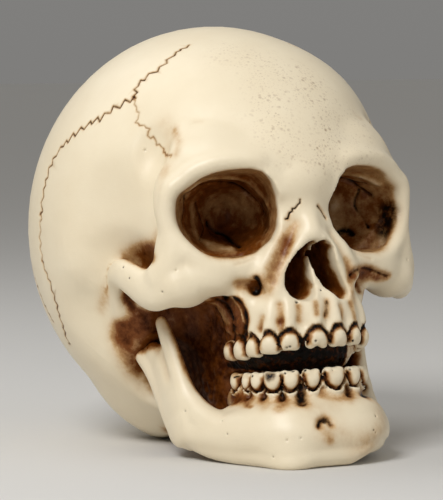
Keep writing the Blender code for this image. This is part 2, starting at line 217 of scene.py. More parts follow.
def loft(bm: bmesh.types.BMesh, rings: list, mirror: bool = False) -> None:
    """Adds a closed tube by extruding a face from ring to ring.

    Args:
        bm: Mesh that takes it.
        rings: Points of each ring, the same number in all.
        mirror: Whether the other side gets one too.
    """
    for side in sides(mirror):
        start = [bm.verts.new((x * side, y, z)) for x, y, z in rings[0]]
        cap = bm.faces.new(start)
        for ring in rings[1:]:
            cap = bmesh.ops.extrude_discrete_faces(bm, faces=[cap])["faces"][0]
            for vert, (x, y, z) in zip(cap.verts, ring):
                vert.co = (x * side, y, z)
        bm.faces.new(start[::-1])
    bmesh.ops.recalc_face_normals(bm, faces=bm.faces)


def apply_modifiers(obj: bpy.types.Object) -> None:
    """Makes the object's modified shape its mesh."""
    graph = bpy.context.evaluated_depsgraph_get()
    old = obj.data
    made = bpy.data.meshes.new_from_object(obj.evaluated_get(graph))
    obj.modifiers.clear()
    obj.data = made
    bpy.data.meshes.remove(old)


@dataclass(frozen=True)
class PhotoView:
    """The photograph's camera, fitted to the skull's own landmarks."""

    azimuth: float = -26.61
    elevation: float = 3.57
    roll: float = 0.63
    distance: float = 1336.7
    pixels_per_mm: float = 2.33
    aim_height: float = 88.0
    image_centre: Pixel = (221.5, 250.0)
    aim_pixel: Pixel = (218.92, 235.49)

    def axes(self) -> tuple[Vector, Vector, Vector]:
        """Right, up and back of the rolled camera."""
        a, e = math.radians(self.azimuth), math.radians(self.elevation)
        back = Vector((math.sin(a) * math.cos(e), -math.cos(a) * math.cos(e), math.sin(e)))
        right = Vector((math.cos(a), math.sin(a), 0))
        up = back.cross(right)
        turn = Matrix.Rotation(math.radians(-self.roll), 3, back)
        return turn @ right, turn @ up, back

    def aim(self) -> Vector:
        """The point in the middle of the picture, in mm."""
        a = math.radians(self.azimuth)
        right = Vector((math.cos(a), math.sin(a), 0))
        up = self.axes()[2].cross(right)
        across = (self.image_centre[0] - self.aim_pixel[0]) / self.pixels_per_mm
        down = (self.image_centre[1] - self.aim_pixel[1]) / self.pixels_per_mm
        return Vector((0, 0, self.aim_height)) + right * across - up * down

    def ray(self, pixel: Pixel) -> tuple[Vector, Vector]:
        """Where a pixel's line of sight starts and where it points.

        Args:
            pixel: Column and row in the photograph.

        Returns:
            Origin and unit direction.
        """
        right, up, back = self.axes()
        across = (pixel[0] - self.image_centre[0]) / self.pixels_per_mm
        down = (pixel[1] - self.image_centre[1]) / self.pixels_per_mm
        towards = -back * self.distance + right * across - up * down
        return self.aim() + back * self.distance, towards.normalized()

    def make_camera(self) -> None:
        """Sets up the scene's camera over the centred skull."""
        right, up, back = self.axes()
        lens = bpy.data.cameras.new("photo_view")
        lens.sensor_width = SENSOR
        lens.lens = self.pixels_per_mm * self.distance * SENSOR / IMAGE_LONG_SIDE
        lens.clip_start = 0.01
        lens.clip_end = 20
        camera = bpy.data.objects.new("photo_view", lens)
        bpy.context.scene.collection.objects.link(camera)
        camera.location = (self.aim() + back * self.distance + Vector((0, CENTRING, 0))) * MM
        camera.rotation_mode = "QUATERNION"
        camera.rotation_quaternion = Matrix((right, up, back)).transposed().to_quaternion()
        bpy.context.scene.camera = camera


VIEW = PhotoView()


@dataclass(frozen=True)
class Mark:
    """A line or spot worked into the skin where the photograph shows it.

    Depth cuts in along the surface, and a negative depth raises. Stain is the brown wash, and in some marks
    painted shade; soot is the black-brown that stands in the deepest cuts, each from 0 to 1. A stain below
    0 wipes the wash off.
    """

    pixels: tuple[Pixel, ...]
    width: float = 1.0
    depth: float = 0.0
    stain: float = 0.0
    stain_width: float = 2.0
    soot: float = 0.0
    soot_width: float = 0.6
    zigzag: float = 0.0
    zigzag_step: float = 1.7
    freckle: float = 0.0
    mirror: bool = True
    points: tuple[Point, ...] = ()


class Clay:
    """A mesh in millimetres that is modelled like soft clay and then cast."""

    def __init__(self, name: str, bm: bmesh.types.BMesh) -> None:
        """Starts from the forms in a bmesh, which it frees."""
        self.name = name
        self.obj = bpy.data.objects.new(name, bpy.data.meshes.new(name))
        bpy.context.scene.collection.objects.link(self.obj)
        bm.to_mesh(self.obj.data)
        bm.free()
        self.layers: dict[str, np.ndarray] = {}

    @property
    def points(self) -> np.ndarray:
        """Every vertex's place."""
        flat = np.empty(len(self.obj.data.vertices) * 3, np.float32)
        self.obj.data.vertices.foreach_get("co", flat)
        return flat.reshape(-1, 3).astype(float)

    @points.setter
    def points(self, places: np.ndarray) -> None:
        """Puts every vertex in its new place."""
        self.obj.data.vertices.foreach_set("co", places.astype(np.float32).ravel())
        self.obj.data.update()

    @property
    def normals(self) -> np.ndarray:
        """Every vertex's outward direction."""
        flat = np.empty(len(self.obj.data.vertices) * 3, np.float32)
        self.obj.data.vertex_normals.foreach_get("vector", flat)
        return flat.reshape(-1, 3).astype(float)

    def edges(self) -> np.ndarray:
        """The pair of vertices at each edge's ends."""
        pairs = np.empty(len(self.obj.data.edges) * 2, np.int32)
        self.obj.data.edges.foreach_get("vertices", pairs)
        return pairs.reshape(-1, 2)

    def spread(self, values: np.ndarray, rounds: int) -> np.ndarray:
        """Averages values over neighbouring vertices.

        Args:
            values: One row per vertex.
            rounds: How often.

        Returns:
            The smoothed values.
        """
        pairs = self.edges()
        ends = np.concatenate([pairs[:, 0], pairs[:, 1]])
        others = np.concatenate([pairs[:, 1], pairs[:, 0]])
        count = np.bincount(ends, minlength=len(values)).astype(float)
        count[count == 0] = 1
        result = values.reshape(len(values), -1).copy()
        for _ in range(rounds):
            near = np.stack([np.bincount(ends, column[others], len(values)) for column in result.T], 1)
            result = 0.5 * result + 0.5 * near / count[:, None]
        return result.reshape(values.shape)

    def add(self, bm: bmesh.types.BMesh) -> None:
        """Lays more forms on the clay."""
        extra = bpy.data.meshes.new("extra")
        bm.to_mesh(extra)
        bm.free()
        both = bmesh.new()
        both.from_mesh(self.obj.data)
        both.from_mesh(extra)
        both.to_mesh(self.obj.data)
        both.free()
        bpy.data.meshes.remove(extra)

    def melt(self, voxel: float, rounds: int) -> None:
        """Makes one skin over all the overlapping forms.

        Args:
            voxel: Size of the skin's faces in mm.
            rounds: How much the creases are softened.
        """
        skin = self.obj.modifiers.new("Skin", "REMESH")
        skin.mode = "VOXEL"
        skin.voxel_size = voxel
        if rounds:
            soften = self.obj.modifiers.new("Soften", "SMOOTH")
            soften.factor = 0.5
            soften.iterations = rounds
        apply_modifiers(self.obj)

    def cut(self, bm: bmesh.types.BMesh) -> None:
        """Takes the closed forms in a bmesh out of the clay."""
        tool = Clay("tool", bm).obj
        step = self.obj.modifiers.new("Cut", "BOOLEAN")
        step.operation = "DIFFERENCE"
        step.solver = "MANIFOLD"
        step.object = tool
        apply_modifiers(self.obj)
        bpy.data.objects.remove(tool)

    def push(self, centre: Point, reach: Point, move: Point, mirror: bool = True) -> None:
        """Moves the clay near a centre, fading out at the reach.

        Args:
            centre: Middle of the push.
            reach: Half sizes of the part that moves.
            move: How far its middle goes.
            mirror: Whether the other side is pushed too.
        """
        places = self.points
        for side in sides(mirror):
            middle = np.array([centre[0] * side, centre[1], centre[2]], float)
            weight = fade(np.linalg.norm((places - middle) / np.array(reach, float), axis=1))
            places += weight[:, None] * np.array([move[0] * side, move[1], move[2]], float)
        self.points = places

    def polish(self, weight: np.ndarray, rounds: int) -> None:
        """Smooths the clay where the weight is above 0."""
        places = self.points
        self.points = places + (self.spread(places, rounds) - places) * weight[:, None]

    def soften(self, regions: tuple, rounds: int) -> None:
        """Smooths the clay in some places.

        Args:
            regions: Centre, reach and strength of each.
            rounds: How much.
        """
        places = self.points
        weight = np.zeros(len(places))
        for centre, reach, strength in regions:
            for side in Hand.BOTH.value:
                middle = np.array([centre[0] * side, centre[1], centre[2]], float)
                far = np.linalg.norm((places - middle) / np.array(reach, float), axis=1)
                weight = np.maximum(weight, strength * fade(far))
        self.polish(weight, rounds)

    def roughen(self, weight: np.ndarray, height: float, grain: Point) -> None:
        """Leaves uneven tool marks where the weight is above 0.

        Args:
            weight: How strong the marks are at each vertex.
            height: Their height in mm.
            grain: Their size along X, Y and Z in mm.
        """
        places, normals = self.points, self.normals
        for index in np.nonzero(weight > 0.02)[0]:
            spot = Vector(places[index] / np.array(grain))
            ridge = abs(noise.noise(spot)) * 2 - 0.5
            places[index] += normals[index] * (weight[index] * height * ridge)
        self.points = places

    def thin(self, keep: np.ndarray, ratio: float) -> None:
        """Merges faces where little is kept.

        Args:
            keep: For each vertex, 1 where the faces stay as they are and 0 where they merge first.
            ratio: Share of the faces that is left.
        """
        group = self.obj.vertex_groups.new(name="merge")
        levels = np.round((1 - keep) * 10).astype(int)
        for level in range(11):
            group.add(np.nonzero(levels == level)[0].tolist(), level / 10, "REPLACE")
        fewer = self.obj.modifiers.new("Fewer", "DECIMATE")
        fewer.ratio = ratio
        fewer.vertex_group = group.name
        fewer.use_collapse_triangulate = True
        apply_modifiers(self.obj)
        self.obj.vertex_groups.clear()

    def tree(self) -> BVHTree:
        """A tree for casting rays at the clay."""
        bm = bmesh.new()
        bm.from_mesh(self.obj.data)
        made = BVHTree.FromBMesh(bm)
        bm.free()
        return made

    def trace(self, mark: Mark, tree: BVHTree, chance: np.random.Generator) -> list[np.ndarray]:
        """Finds a mark's line on the clay.

        Args:
            mark: The mark.
            tree: The clay's tree.
            chance: Source of the zigzag's unevenness.

        Returns:
            One line of points per side that has it.
        """
        found = list(mark.points)
        for pixel in mark.pixels:
            hit = tree.ray_cast(*VIEW.ray(pixel))
            if hit[0] is not None:
                found.append(tuple(hit[0]))
        if not found:
            return []
        line = smooth_path(found, 0.8) if len(found) > 1 else np.array(found)
        if mark.zigzag and len(line) > 2:
            line = self.zigzag(line, mark, tree, chance)
        lines = [line]
        if mark.mirror:
            lines.append(line * np.array([-1, 1, 1]))
        return lines

    @staticmethod
    def zigzag(line: np.ndarray, mark: Mark, tree: BVHTree, chance: np.random.Generator) -> np.ndarray:
        """Folds a smooth line into the sharp teeth of a suture and lays it back on the clay.

        Args:
            line: Points of the smooth line.
            mark: The mark, which says how far and how often it folds.
            tree: The clay's tree.
            chance: Source of the unevenness.

        Returns:
            Points of the folded line.
        """
        along = np.concatenate([[0], np.cumsum(np.linalg.norm(np.diff(line, axis=0), axis=1))])
        stops = [0.0]
        at = 0.0
        while at < along[-1]:
            at += mark.zigzag_step * chance.uniform(0.55, 1.5)
            stops.append(min(at, along[-1]))
        folded = []
        for number, stop in enumerate(stops):
            place = Vector([float(np.interp(stop, along, line[:, i])) for i in range(3)])
            after, before = stop + 1, stop - 1
            ahead = Vector([float(np.interp(after, along, line[:, i]) - np.interp(before, along, line[:, i]))
                            for i in range(3)])
            normal = tree.find_nearest(place)[1]
            if ahead.length < 1e-6:
                continue
            across = normal.cross(ahead).normalized()
            swing = mark.zigzag * chance.uniform(0.35, 1.25) * (1 if number % 2 else -1)
            folded.append(tuple(tree.find_nearest(place + across * swing)[0]))
        fine = [folded[0]]
        for a, b in zip(folded[:-1], folded[1:]):
            count = max(1, int(math.dist(a, b) / 0.8))
            start, run = np.array(a), np.array(b) - np.array(a)
            fine += [tuple(start + run * i / count) for i in range(1, count + 1)]
        return np.array(fine)

    @staticmethod
    def distance(places: np.ndarray, line: np.ndarray, reach: float) -> tuple[np.ndarray, np.ndarray]:
        """How far the vertices near a line are from it.

        Args:
            places: Every vertex's place.
            line: Points of the line.
            reach: Distance past which a vertex is left out.

        Returns:
            Indices of the near vertices and their distances.
        """
        near = np.all((places > line.min(0) - reach) & (places < line.max(0) + reach), axis=1)
        which = np.nonzero(near)[0]
        best = np.full(len(which), np.inf)
        if len(line) == 1:
            best = np.linalg.norm(places[which] - line[0], axis=1)
        for a, b in zip(line[:-1], line[1:]):
            along = b - a
            t = np.clip(((places[which] - a) @ along) / max(along @ along, 1e-9), 0, 1)
            best = np.minimum(best, np.linalg.norm(places[which] - a - t[:, None] * along, axis=1))
        inside = best < reach
        return which[inside], best[inside]

    def refine(self, lines: list[np.ndarray], reach: float, longest: float) -> None:
        """Splits the long edges near some lines so that fine cuts have faces to show on.

        Args:
            lines: Points of each line.
            reach: How far from a line edges are split, in mm.
            longest: Length in mm up to which an edge stays whole.
        """
        places, pairs = self.points, self.edges()
        lengths = np.linalg.norm(places[pairs[:, 0]] - places[pairs[:, 1]], axis=1)
        middles = places[pairs].mean(axis=1)
        near = np.zeros(len(pairs), bool)
        for line in lines:
            which, far = self.distance(middles, line, reach + 3)
            near[which[far < reach + lengths[which] * 0.35]] = True
        chosen = np.nonzero(near & (lengths > longest))[0]
        bm = bmesh.new()
        bm.from_mesh(self.obj.data)
        bm.edges.ensure_lookup_table()
        bmesh.ops.subdivide_edges(bm, edges=[bm.edges[i] for i in chosen], cuts=1, use_grid_fill=True)
        bmesh.ops.triangulate(bm, faces=[f for f in bm.faces if len(f.verts) > 4])
        bm.to_mesh(self.obj.data)
        bm.free()

    def work(self, marks: tuple[Mark, ...], seed: int) -> None:
        """Engraves and stains marks.

        Args:
            marks: What is worked in.
            seed: Start of the chance that makes zigzags uneven.
        """
        chance = np.random.default_rng(seed)
        tree = self.tree()
        traced = [(mark, line) for mark in marks for line in self.trace(mark, tree, chance)]
        fine = [line for mark, line in traced if mark.depth and mark.width < FINE_WIDTH]
        if fine:
            for reach, longest in SPLIT_PASSES:
                self.refine(fine, reach, longest)
        places, normals = self.points, self.normals
        moved = places.copy()
        stain, soot, freckle, lift = (self.layer(name) for name in ("patina", "soot", "freckle", "lift"))
        for mark, line in traced:
            if mark.freckle:
                which, far = self.distance(places, line, mark.stain_width * 2)
                amount = mark.freckle * np.exp(-(far / mark.stain_width) ** 2)
                freckle[which] = np.maximum(freckle[which], amount)
            if mark.depth:
                which, far = self.distance(places, line, mark.width * 2.5)
                moved[which] -= normals[which] * (mark.depth * np.exp(-(far / mark.width) ** 2))[:, None]
            if mark.stain:
                which, far = self.distance(places, line, mark.stain_width * 2.2)
                amount = abs(mark.stain) * np.exp(-(far / mark.stain_width) ** 2)
                wash = stain if mark.stain > 0 else lift
                wash[which] = 1 - (1 - wash[which]) * (1 - amount)
            if mark.soot:
                which, far = self.distance(places, line, mark.soot_width * 2.5)
                soot[which] = np.maximum(soot[which], mark.soot * np.exp(-(far / mark.soot_width) ** 4))
        self.points = moved
        self.layers.update(patina=stain, soot=soot, freckle=freckle, lift=lift)

    def layer(self, name: str) -> np.ndarray:
        """The amount of a wash on each vertex, 0 where none was laid."""
        made = self.layers.get(name)
        count = len(self.obj.data.vertices)
        if made is None or len(made) != count:
            made = np.zeros(count)
        return made.copy()

    def cast(self, material: bpy.types.Material, slot: str, *nodes: str) -> bpy.types.Object:
        """Turns the clay into a finished piece in metres over the frame.

        Args:
            material: Its finish.
            slot: The record's slot the finish stands for. Not used.
            nodes: The frame's nodes that the piece replaces.

        Returns:
            The piece.
        """
        places = self.points
        places[:, 1] += CENTRING
        self.points = places * MM
        mesh = self.obj.data
        mesh.polygons.foreach_set("use_smooth", np.ones(len(mesh.polygons), bool))
        for name, values in self.layers.items():
            made = mesh.attributes.new(name, "FLOAT", "POINT")
            made.data.foreach_set("value", np.clip(values, 0, 1).astype(np.float32))
        mesh.materials.clear()
        mesh.materials.append(material)
        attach(self.obj, "root")
        if nodes:
            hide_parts(*nodes)
        count = sum(len(p.vertices) - 2 for p in mesh.polygons)
        LOG.info("%s: %d triangles", self.name, count)
        return self.obj


@dataclass
class Cranium:
    """Braincase and upper face as one casting. Every size is in mm."""

    case_voxel: float = 2.0
    hollow_voxel: float = 1.6
    face_voxel: float = 1.2
    voxel: float = 0.85
    thinning: float = 0.32
    case_forms: tuple[Form, ...] = (
        Lump((0, 5.2, 90.7), (76.9, 93.3, 86.95), detail=6, mirror=False),
        Lump((0, 14, 48), (56, 50, 52.5), detail=5, mirror=False),
    )
    # The forehead narrows by this share between two depths, and less so near the top of the head
    forehead_narrowing: float = 0.055
    narrowing_depths: Pixel = (5, 80)
    crown_height: float = 172
    crown_fade: float = 35
    # Centre, reach and move of each push: the temples, the sides above the jaw, the forehead, the brow's ends
    case_pushes: tuple[Push, ...] = (
        ((74, -46, 92), (30, 42, 46), (-13, 0, 0)), ((66, -34, 78), (22, 26, 20), (-13, 0, 0)),
        ((70, -26, 58), (34, 34, 24), (-15, 0, 0)), ((46, -42, 160), (50, 50, 30), (1.4, -1.6, 0.6)),
        ((60, -48, 122), (14, 16, 26), (-3.0, 1.0, 0)), ((67, -50, 106), (14, 16, 34), (-4.5, 1.0, 0)),
        ((54, -52, 130), (12, 14, 16), (-3.0, 2.6, 0)),
    )
    # What is cut off the front of the braincase, where the face is laid on
    face_cuts: tuple[Block, ...] = (
        Block((-110, -130, -30), (110, -58, 107), 7), Block((-110, -130, -30), (110, -44, 64), 8),
        Block((30, -130, -20), (120, -29, 67), 11, mirror=True),
    )
    root_push: Push = ((0, -88, 110), (34, 14, 15), (0, 5.0, 0))
    hollows: tuple[Lump, ...] = (Lump((43, -31, 30), (17, 19, 20), detail=4),
                                 Lump((59, -39, 81), (8.5, 15, 8), detail=4))
    # Side outline, as y and z, of what is cut off under the back of the head
    underside: tuple[Pixel, ...] = ((18, 0), (-60, 14), (-60, -40), (18, -40))
    underside_reach: float = 80
    joint_push: Push = ((56, -16, 45), (15, 17, 15), (-4.5, 0, 0))
    case_soft: tuple = (((57, -8, 42), (28, 34, 36), 1.0), ((62, -38, 82), (18, 26, 18), 1.0))

    orbit_rim: tuple[Point, ...] = (
        (51.4, -64.6, 102.3), (51.2, -65.1, 107.2), (49.9, -66.2, 110.4), (46.6, -67.8, 112.8),
        (43.3, -70.2, 116.0), (39.0, -72.5, 118.0), (34.1, -74.6, 119.1), (28.4, -76.6, 119.6),
        (24.5, -77.9, 119.7), (19.4, -78.5, 118.4), (15.4, -77.6, 114.7), (12.4, -76.2, 108.4),
        (11.4, -75.8, 101.5), (12.4, -76.7, 95.1), (15.7, -77.7, 90.4), (23.0, -78.5, 85.4),
        (29.4, -77.7, 84.0), (35.4, -76.2, 83.8), (40.9, -73.8, 85.1), (45.8, -70.1, 88.7),
        (49.4, -66.7, 93.9), (51.3, -65.0, 98.3),
    )
    orbit_middle: Point = (31.0, -73.0, 102.0)
    orbit_apex: Point = (17.0, -34.0, 98.0)
    # Share of the way to the apex, and the opening's size there
    orbit_taper: tuple[Pixel, ...] = ((0.15, 1.0), (0.4, 0.93), (0.65, 0.76), (0.85, 0.5), (0.97, 0.22))
    rim_radius: float = 4.0
    rim_outward: float = 3.4
    rim_back: float = 2.6
    brow_forms: tuple[Form, ...] = (
        Roll(((36, -37, 140, 6), (37.5, -46, 136.5, 7), (39.5, -53, 131.5, 7.2), (42.5, -57, 126, 7.5),
              (46, -57, 120, 7), (49.8, -57, 115, 6.4), (52.4, -57, 110, 5.8), (53.6, -58, 105, 5.1),
              (54, -60, 100, 4.6), (53.4, -61.6, 95, 4.7), (52.5, -63, 90, 5.3), (52, -63.4, 85, 6),
              (53, -61.5, 80, 7), (54.5, -58, 75, 8))),
        Lump((25, -63, 123), (25, 11.5, 19), turn=(-27, 0, 14), detail=4),
        Lump((0, -58, 114), (24, 27, 17), detail=4, mirror=False),
        Lump((0, -60, 101), (14, 17.5, 16), detail=4, mirror=False),
        Lump((0, -67.5, 103), (14.5, 14.8, 19), detail=4, mirror=False),
        Roll(((8, -73, 112, 7), (9, -72, 104, 6), (11, -74, 96, 5))),
    )
    # The cheekbone, and the arch that hooks down in front of the ear
    cheek_forms: tuple[Form, ...] = (
        Lump((47, -63, 73), (12, 9.5, 10)), Lump((36, -66.5, 76), (14, 11, 8.5)),
        Lump((27, -70, 77), (9, 9, 8)), Lump((53.5, -60, 84), (5.5, 6, 14)),
        Roll(((53.5, -60, 71.5, 8.8), (57, -54.5, 70, 8.8), (59, -48.5, 71.5, 8.2), (60.3, -42, 74, 7.6),
              (61.2, -35.5, 76, 7.2), (60.9, -29, 75.6, 6.4), (60, -24.4, 72.4, 4.9), (59, -21.6, 68.5, 3.9),
              (58, -19.6, 64.5, 3.6), (57, -18.4, 61, 3.6), (55.6, -16.5, 57.5, 4.2), (53, -12, 54.5, 5.5)),
             squeeze=(0.68, 1, 1)),
    )
    # The upper jaw, its ridge for the teeth, and the edges of the cheek and of the nose
    jaw_forms: tuple[Form, ...] = (
        Lump((0, -60, 70), (25, 27, 20), mirror=False),
        Roll(((0, -87.2, 61, 6), (10, -86, 61, 6), (17, -81.5, 61, 6), (20.5, -76, 61, 6), (22.5, -67, 61, 6),
              (23, -56, 60, 6)), squeeze=(1, 1, 1.3)),
        Roll(((42, -66, 71, 5), (34, -68, 73, 5), (28, -71, 71.5, 5), (25, -74, 66, 4.5),
              (22.5, -75, 60, 4.5), (21, -75, 55, 4.5))),
        Roll(((6, -74.5, 109, 4.4), (7.6, -75.5, 101, 4.2), (10.5, -78, 92, 4.4), (15.5, -79.5, 84, 5),
              (19.5, -80, 76, 5.5))),
        Roll(((3.6, -84.6, 91.5, 3.4), (7.6, -84.6, 87, 3.4), (10.8, -83.8, 81.5, 3.5),
              (14.6, -83.6, 74.5, 3.7), (16, -83.8, 69.5, 3.8), (12, -85.5, 64, 4))),
        Lump((0, -84, 67.5), (5, 5.5, 4), mirror=False),
        Lump((0, -64, 88), (14, 18, 24), detail=4, mirror=False),
    )
    # Inset behind the crown's middle, height and radius along each root
    roots: tuple[Point, ...] = ((0.6, 54, 3.5), (0.9, 59, 3.2), (2.6, 64.5, 2.7), (5, 69, 2.2))
    nasal_forms: tuple[Form, ...] = (
        Roll(((0, -75, 110, 6.5), (0, -76.8, 104.5, 5), (0, -80, 99.5, 4.9), (0, -83, 95.5, 4.7),
              (0, -84.6, 93, 4.2)), mirror=False),
        Roll(((3, -73.6, 107, 4.8), (3.6, -76.5, 100, 4.6), (4.4, -79.6, 95, 4.4), (4.6, -82, 92, 4))),
    )
    # The solid resin behind the face and the tooth rows
    mouth_forms: tuple[Form, ...] = (
        Roll(((0, -83, 48, 6.4), (9, -82, 48, 6.4), (15.5, -77.5, 47.5, 6.4), (17.5, -66, 45.5, 6.6),
              (17.5, -50, 45, 7.5)), squeeze=(1, 1, 1.75)),
        Block((-16, -70, 43), (16, -40, 70), 5), Block((-27, -56, 6), (27, -5, 70), 8),
        Lump((20, -60, 62), (9, 12, 12)),
    )
    soft_places: tuple = (
        ((0, -80, 107), (26, 18, 19), 1.0), ((44, -62, 128), (16, 20, 24), 0.7),
        ((38, -74, 78), (22, 16, 14), 1.0), ((54, -62, 92), (10, 12, 20), 0.6),
        ((54, -14, 46), (26, 26, 28), 1.0), ((20, -83, 77), (12, 12, 11), 0.6),
        ((27, -50, 40), (20, 26, 36), 0.9), ((25, -72, 128), (26, 20, 12), 0.9),
        ((62, -38, 84), (14, 22, 16), 0.5),
    )
    # Line beside the hook of the arch, round which the faces are split again, and how far and how short
    hook_path: tuple[Point, ...] = ((60, -22, 76), (58, -12, 64), (56, -8, 50), (54, -4, 38))
    hook_reach: float = 12.0
    hook_edge: float = 2.0
    brow_pushes: tuple[Push, ...] = (
        ((55, -48, 126), (9, 12, 18), (-3.2, 2.2, 0)), ((58, -50, 108), (8, 10, 16), (-1.6, 1.2, 0)),
        ((30, -84, 125), (26, 16, 8), (0, -1.5, 0.5)), ((34, -78, 138), (32, 18, 10), (0, 1.6, -0.4)),
    )
    # Outlines of the two halves of the nasal opening as x and z, and the x on which each closes inside
    nose_right: tuple[Pixel, ...] = (
        (1.4, 90.6), (-2.5, 89.6), (-7.1, 86.6), (-10.5, 82.4), (-12.9, 77.4), (-13.5, 72.4),
        (-12.0, 68.2), (-8.5, 66.2), (-3.9, 66.1), (-1.2, 68.0), (0.1, 71.2), (-0.6, 76.1),
        (-0.5, 81.3), (0.6, 86.2),
    )
    nose_left: tuple[Pixel, ...] = (
        (2.3, 90.0), (6.0, 90.2), (8.6, 87.5), (9.6, 82.9), (11.0, 78.7), (13.3, 73.4), (15.4, 68.2),
        (13.6, 65.3), (9.0, 66.4), (4.6, 70.6), (1.4, 75.9), (0.4, 81.3), (0.9, 86.1),
    )
    nose_ends: Pixel = (-5, 6)
    nose_height: float = 77
    # Depth and size of the rings that close the nasal opening
    nose_taper: tuple[Pixel, ...] = ((-70, 0.85), (-64, 0.5))
    scar_height: float = 0.7
    recess_grain: Point = (3.2, 3.2, 4.2)
    fill_grain: Point = (3, 3, 2.4)

    def braincase(self) -> Clay:
        """Models the braincase with the hollows at the temples and under the face.

        Returns:
            The braincase's clay.
        """
        clay = Clay("cranium", lay(*self.case_forms))
        clay.melt(self.case_voxel, 8)
        places = clay.points
        ahead = step_up(-places[:, 1], *self.narrowing_depths)
        below = np.clip((self.crown_height - places[:, 2]) / self.crown_fade, 0, 1)
        places[:, 0] *= 1 - self.forehead_narrowing * ahead * below
        clay.points = places
        for push in self.case_pushes:
            clay.push(*push)
        for block in self.face_cuts:
            clay.cut(lay(block))
        clay.push(*self.root_push, mirror=False)
        for hollow in self.hollows:
            clay.cut(lay(hollow))
        bm = bmesh.new()
        ends = (-self.underside_reach, self.underside_reach)
        loft(bm, [[(x, y, z) for y, z in self.underside] for x in ends])
        clay.cut(bm)
        clay.melt(self.hollow_voxel, 14)
        clay.push(*self.joint_push)
        clay.soften(self.case_soft, 110)
        return clay

    def orbit_edges(self) -> Roll:
        """The raised rim round each orbit."""
        middle = np.array(self.orbit_middle)
        ring = []
        for point in self.orbit_rim:
            out = np.array(point) - middle
            out[1] = 0
            out /= np.linalg.norm(out)
            place = np.array(point) + out * self.rim_outward + np.array([0, self.rim_back, 0])
            ring.append((*place, self.rim_radius))
        return Roll(tuple(ring + ring[:1]))

    def openings(self, clay: Clay) -> None:
        """Cuts the orbits and the nasal opening."""
        bm = bmesh.new()
        rim = np.array(self.orbit_rim)
        middle, apex = np.array(self.orbit_middle), np.array(self.orbit_apex)
        rings = [rim + (rim - middle) * 0.12 + np.array([2, -14, 0]), rim + np.array([0, -1.2, 0])]
        for share, size in self.orbit_taper:
            flatter = np.array([1, 1 - share, 1])
            rings.append(middle + (apex - middle) * share + (rim - middle) * size * flatter)
        loft(bm, [[tuple(p) for p in ring] for ring in rings], mirror=True)
        clay.cut(bm)
        for outline, across in zip((self.nose_right, self.nose_left), self.nose_ends):
            bm = bmesh.new()
            rings = [[(x, y, z) for x, z in outline] for y in (-115, -78)]
            up = self.nose_height
            for y, size in self.nose_taper:
                rings.append([(across + (x - across) * size, y, up + (z - up) * size) for x, z in outline])
            loft(bm, rings)
            clay.cut(bm)

    def orbit_depth(self, places: np.ndarray, normals: np.ndarray) -> np.ndarray:
        """How far behind an orbit's rim each point inside the orbit lies, and OUTSIDE elsewhere.

        Args:
            places: Points in mm.
            normals: The surface's outward direction at each.

        Returns:
            A depth in mm for each point.
        """
        rim, middle = np.array(self.orbit_rim), np.array(self.orbit_middle)
        turn = np.arctan2(rim[:, 2] - middle[2], rim[:, 0] - middle[0])
        order = np.argsort(turn)
        inward = np.clip((places[:, 1] - middle[1]) / (self.orbit_apex[1] - middle[1]), 0, 1)
        x = np.abs(places[:, 0]) - middle[0] - inward * (self.orbit_apex[0] - middle[0])
        z = places[:, 2] - middle[2] - inward * (self.orbit_apex[2] - middle[2])
        at = np.arctan2(z, x)
        reach = np.hypot(rim[:, 0] - middle[0], rim[:, 2] - middle[2])[order]
        edge = np.interp(at, turn[order], reach, period=2 * math.pi)
        front = np.interp(at, turn[order], rim[order, 1], period=2 * math.pi)
        depth = places[:, 1] - front
        towards = -(x * normals[:, 0] * np.sign(places[:, 0]) + z * normals[:, 2])
        inside = (np.hypot(x, z) < edge + 3.0) & (towards + 6 * normals[:, 1] * -1 > 0) & (depth < 48)
        return np.where(inside, depth, OUTSIDE)

    def stain(self, clay: Clay) -> None:
        """Lays the brown wash in the orbits and nose, and wash and painted shade behind the teeth."""
        places = clay.points
        depth = self.orbit_depth(places, clay.normals)
        orbit = clay.spread(step_up(depth, -1.5, 3.2) * (0.47 + 0.14 * step_up(depth, 8, 34)), 7)
        nose = within(self.nose_right, places[:, 0], places[:, 2])
        nose |= within(self.nose_left, places[:, 0], places[:, 2])
        nose &= places[:, 1] < -55
        nasal = nose * step_up(places[:, 1], -87, -82) * (0.5 + 0.35 * step_up(places[:, 2], 76, 88))
        nasal = clay.spread(nasal, 4)
        x, y, z = np.abs(places[:, 0]), places[:, 1], places[:, 2]
        # painted shade, with the brown wash, on the walls of the deep recess behind the tooth rows
        wall = (x < 30) & (y > -74) & (y < 0) & (z < 66) & (z > 3)
        mouth = wall * step_up(-x, -31, -27) * 0.55
        patina = clay.layers["patina"]
        clay.layers["patina"] = 1 - (1 - patina) * (1 - orbit) * (1 - nasal) * (1 - mouth)
        # near-black on the bar between the tooth rows, lighter at its left end: its dark wash and the painted
        # shade of its deep recess
        fill = (x < 24) & (z < 50) & (z > 37) & (y < -48)
        dark = step_up(-places[:, 0], -16, -14)
        clay.layers["soot"] = np.maximum(clay.layers["soot"], fill * 0.95 * dark)
        clay.layers["patina"] = np.maximum(clay.layers["patina"], fill * (0.2 + 0.75 * dark))

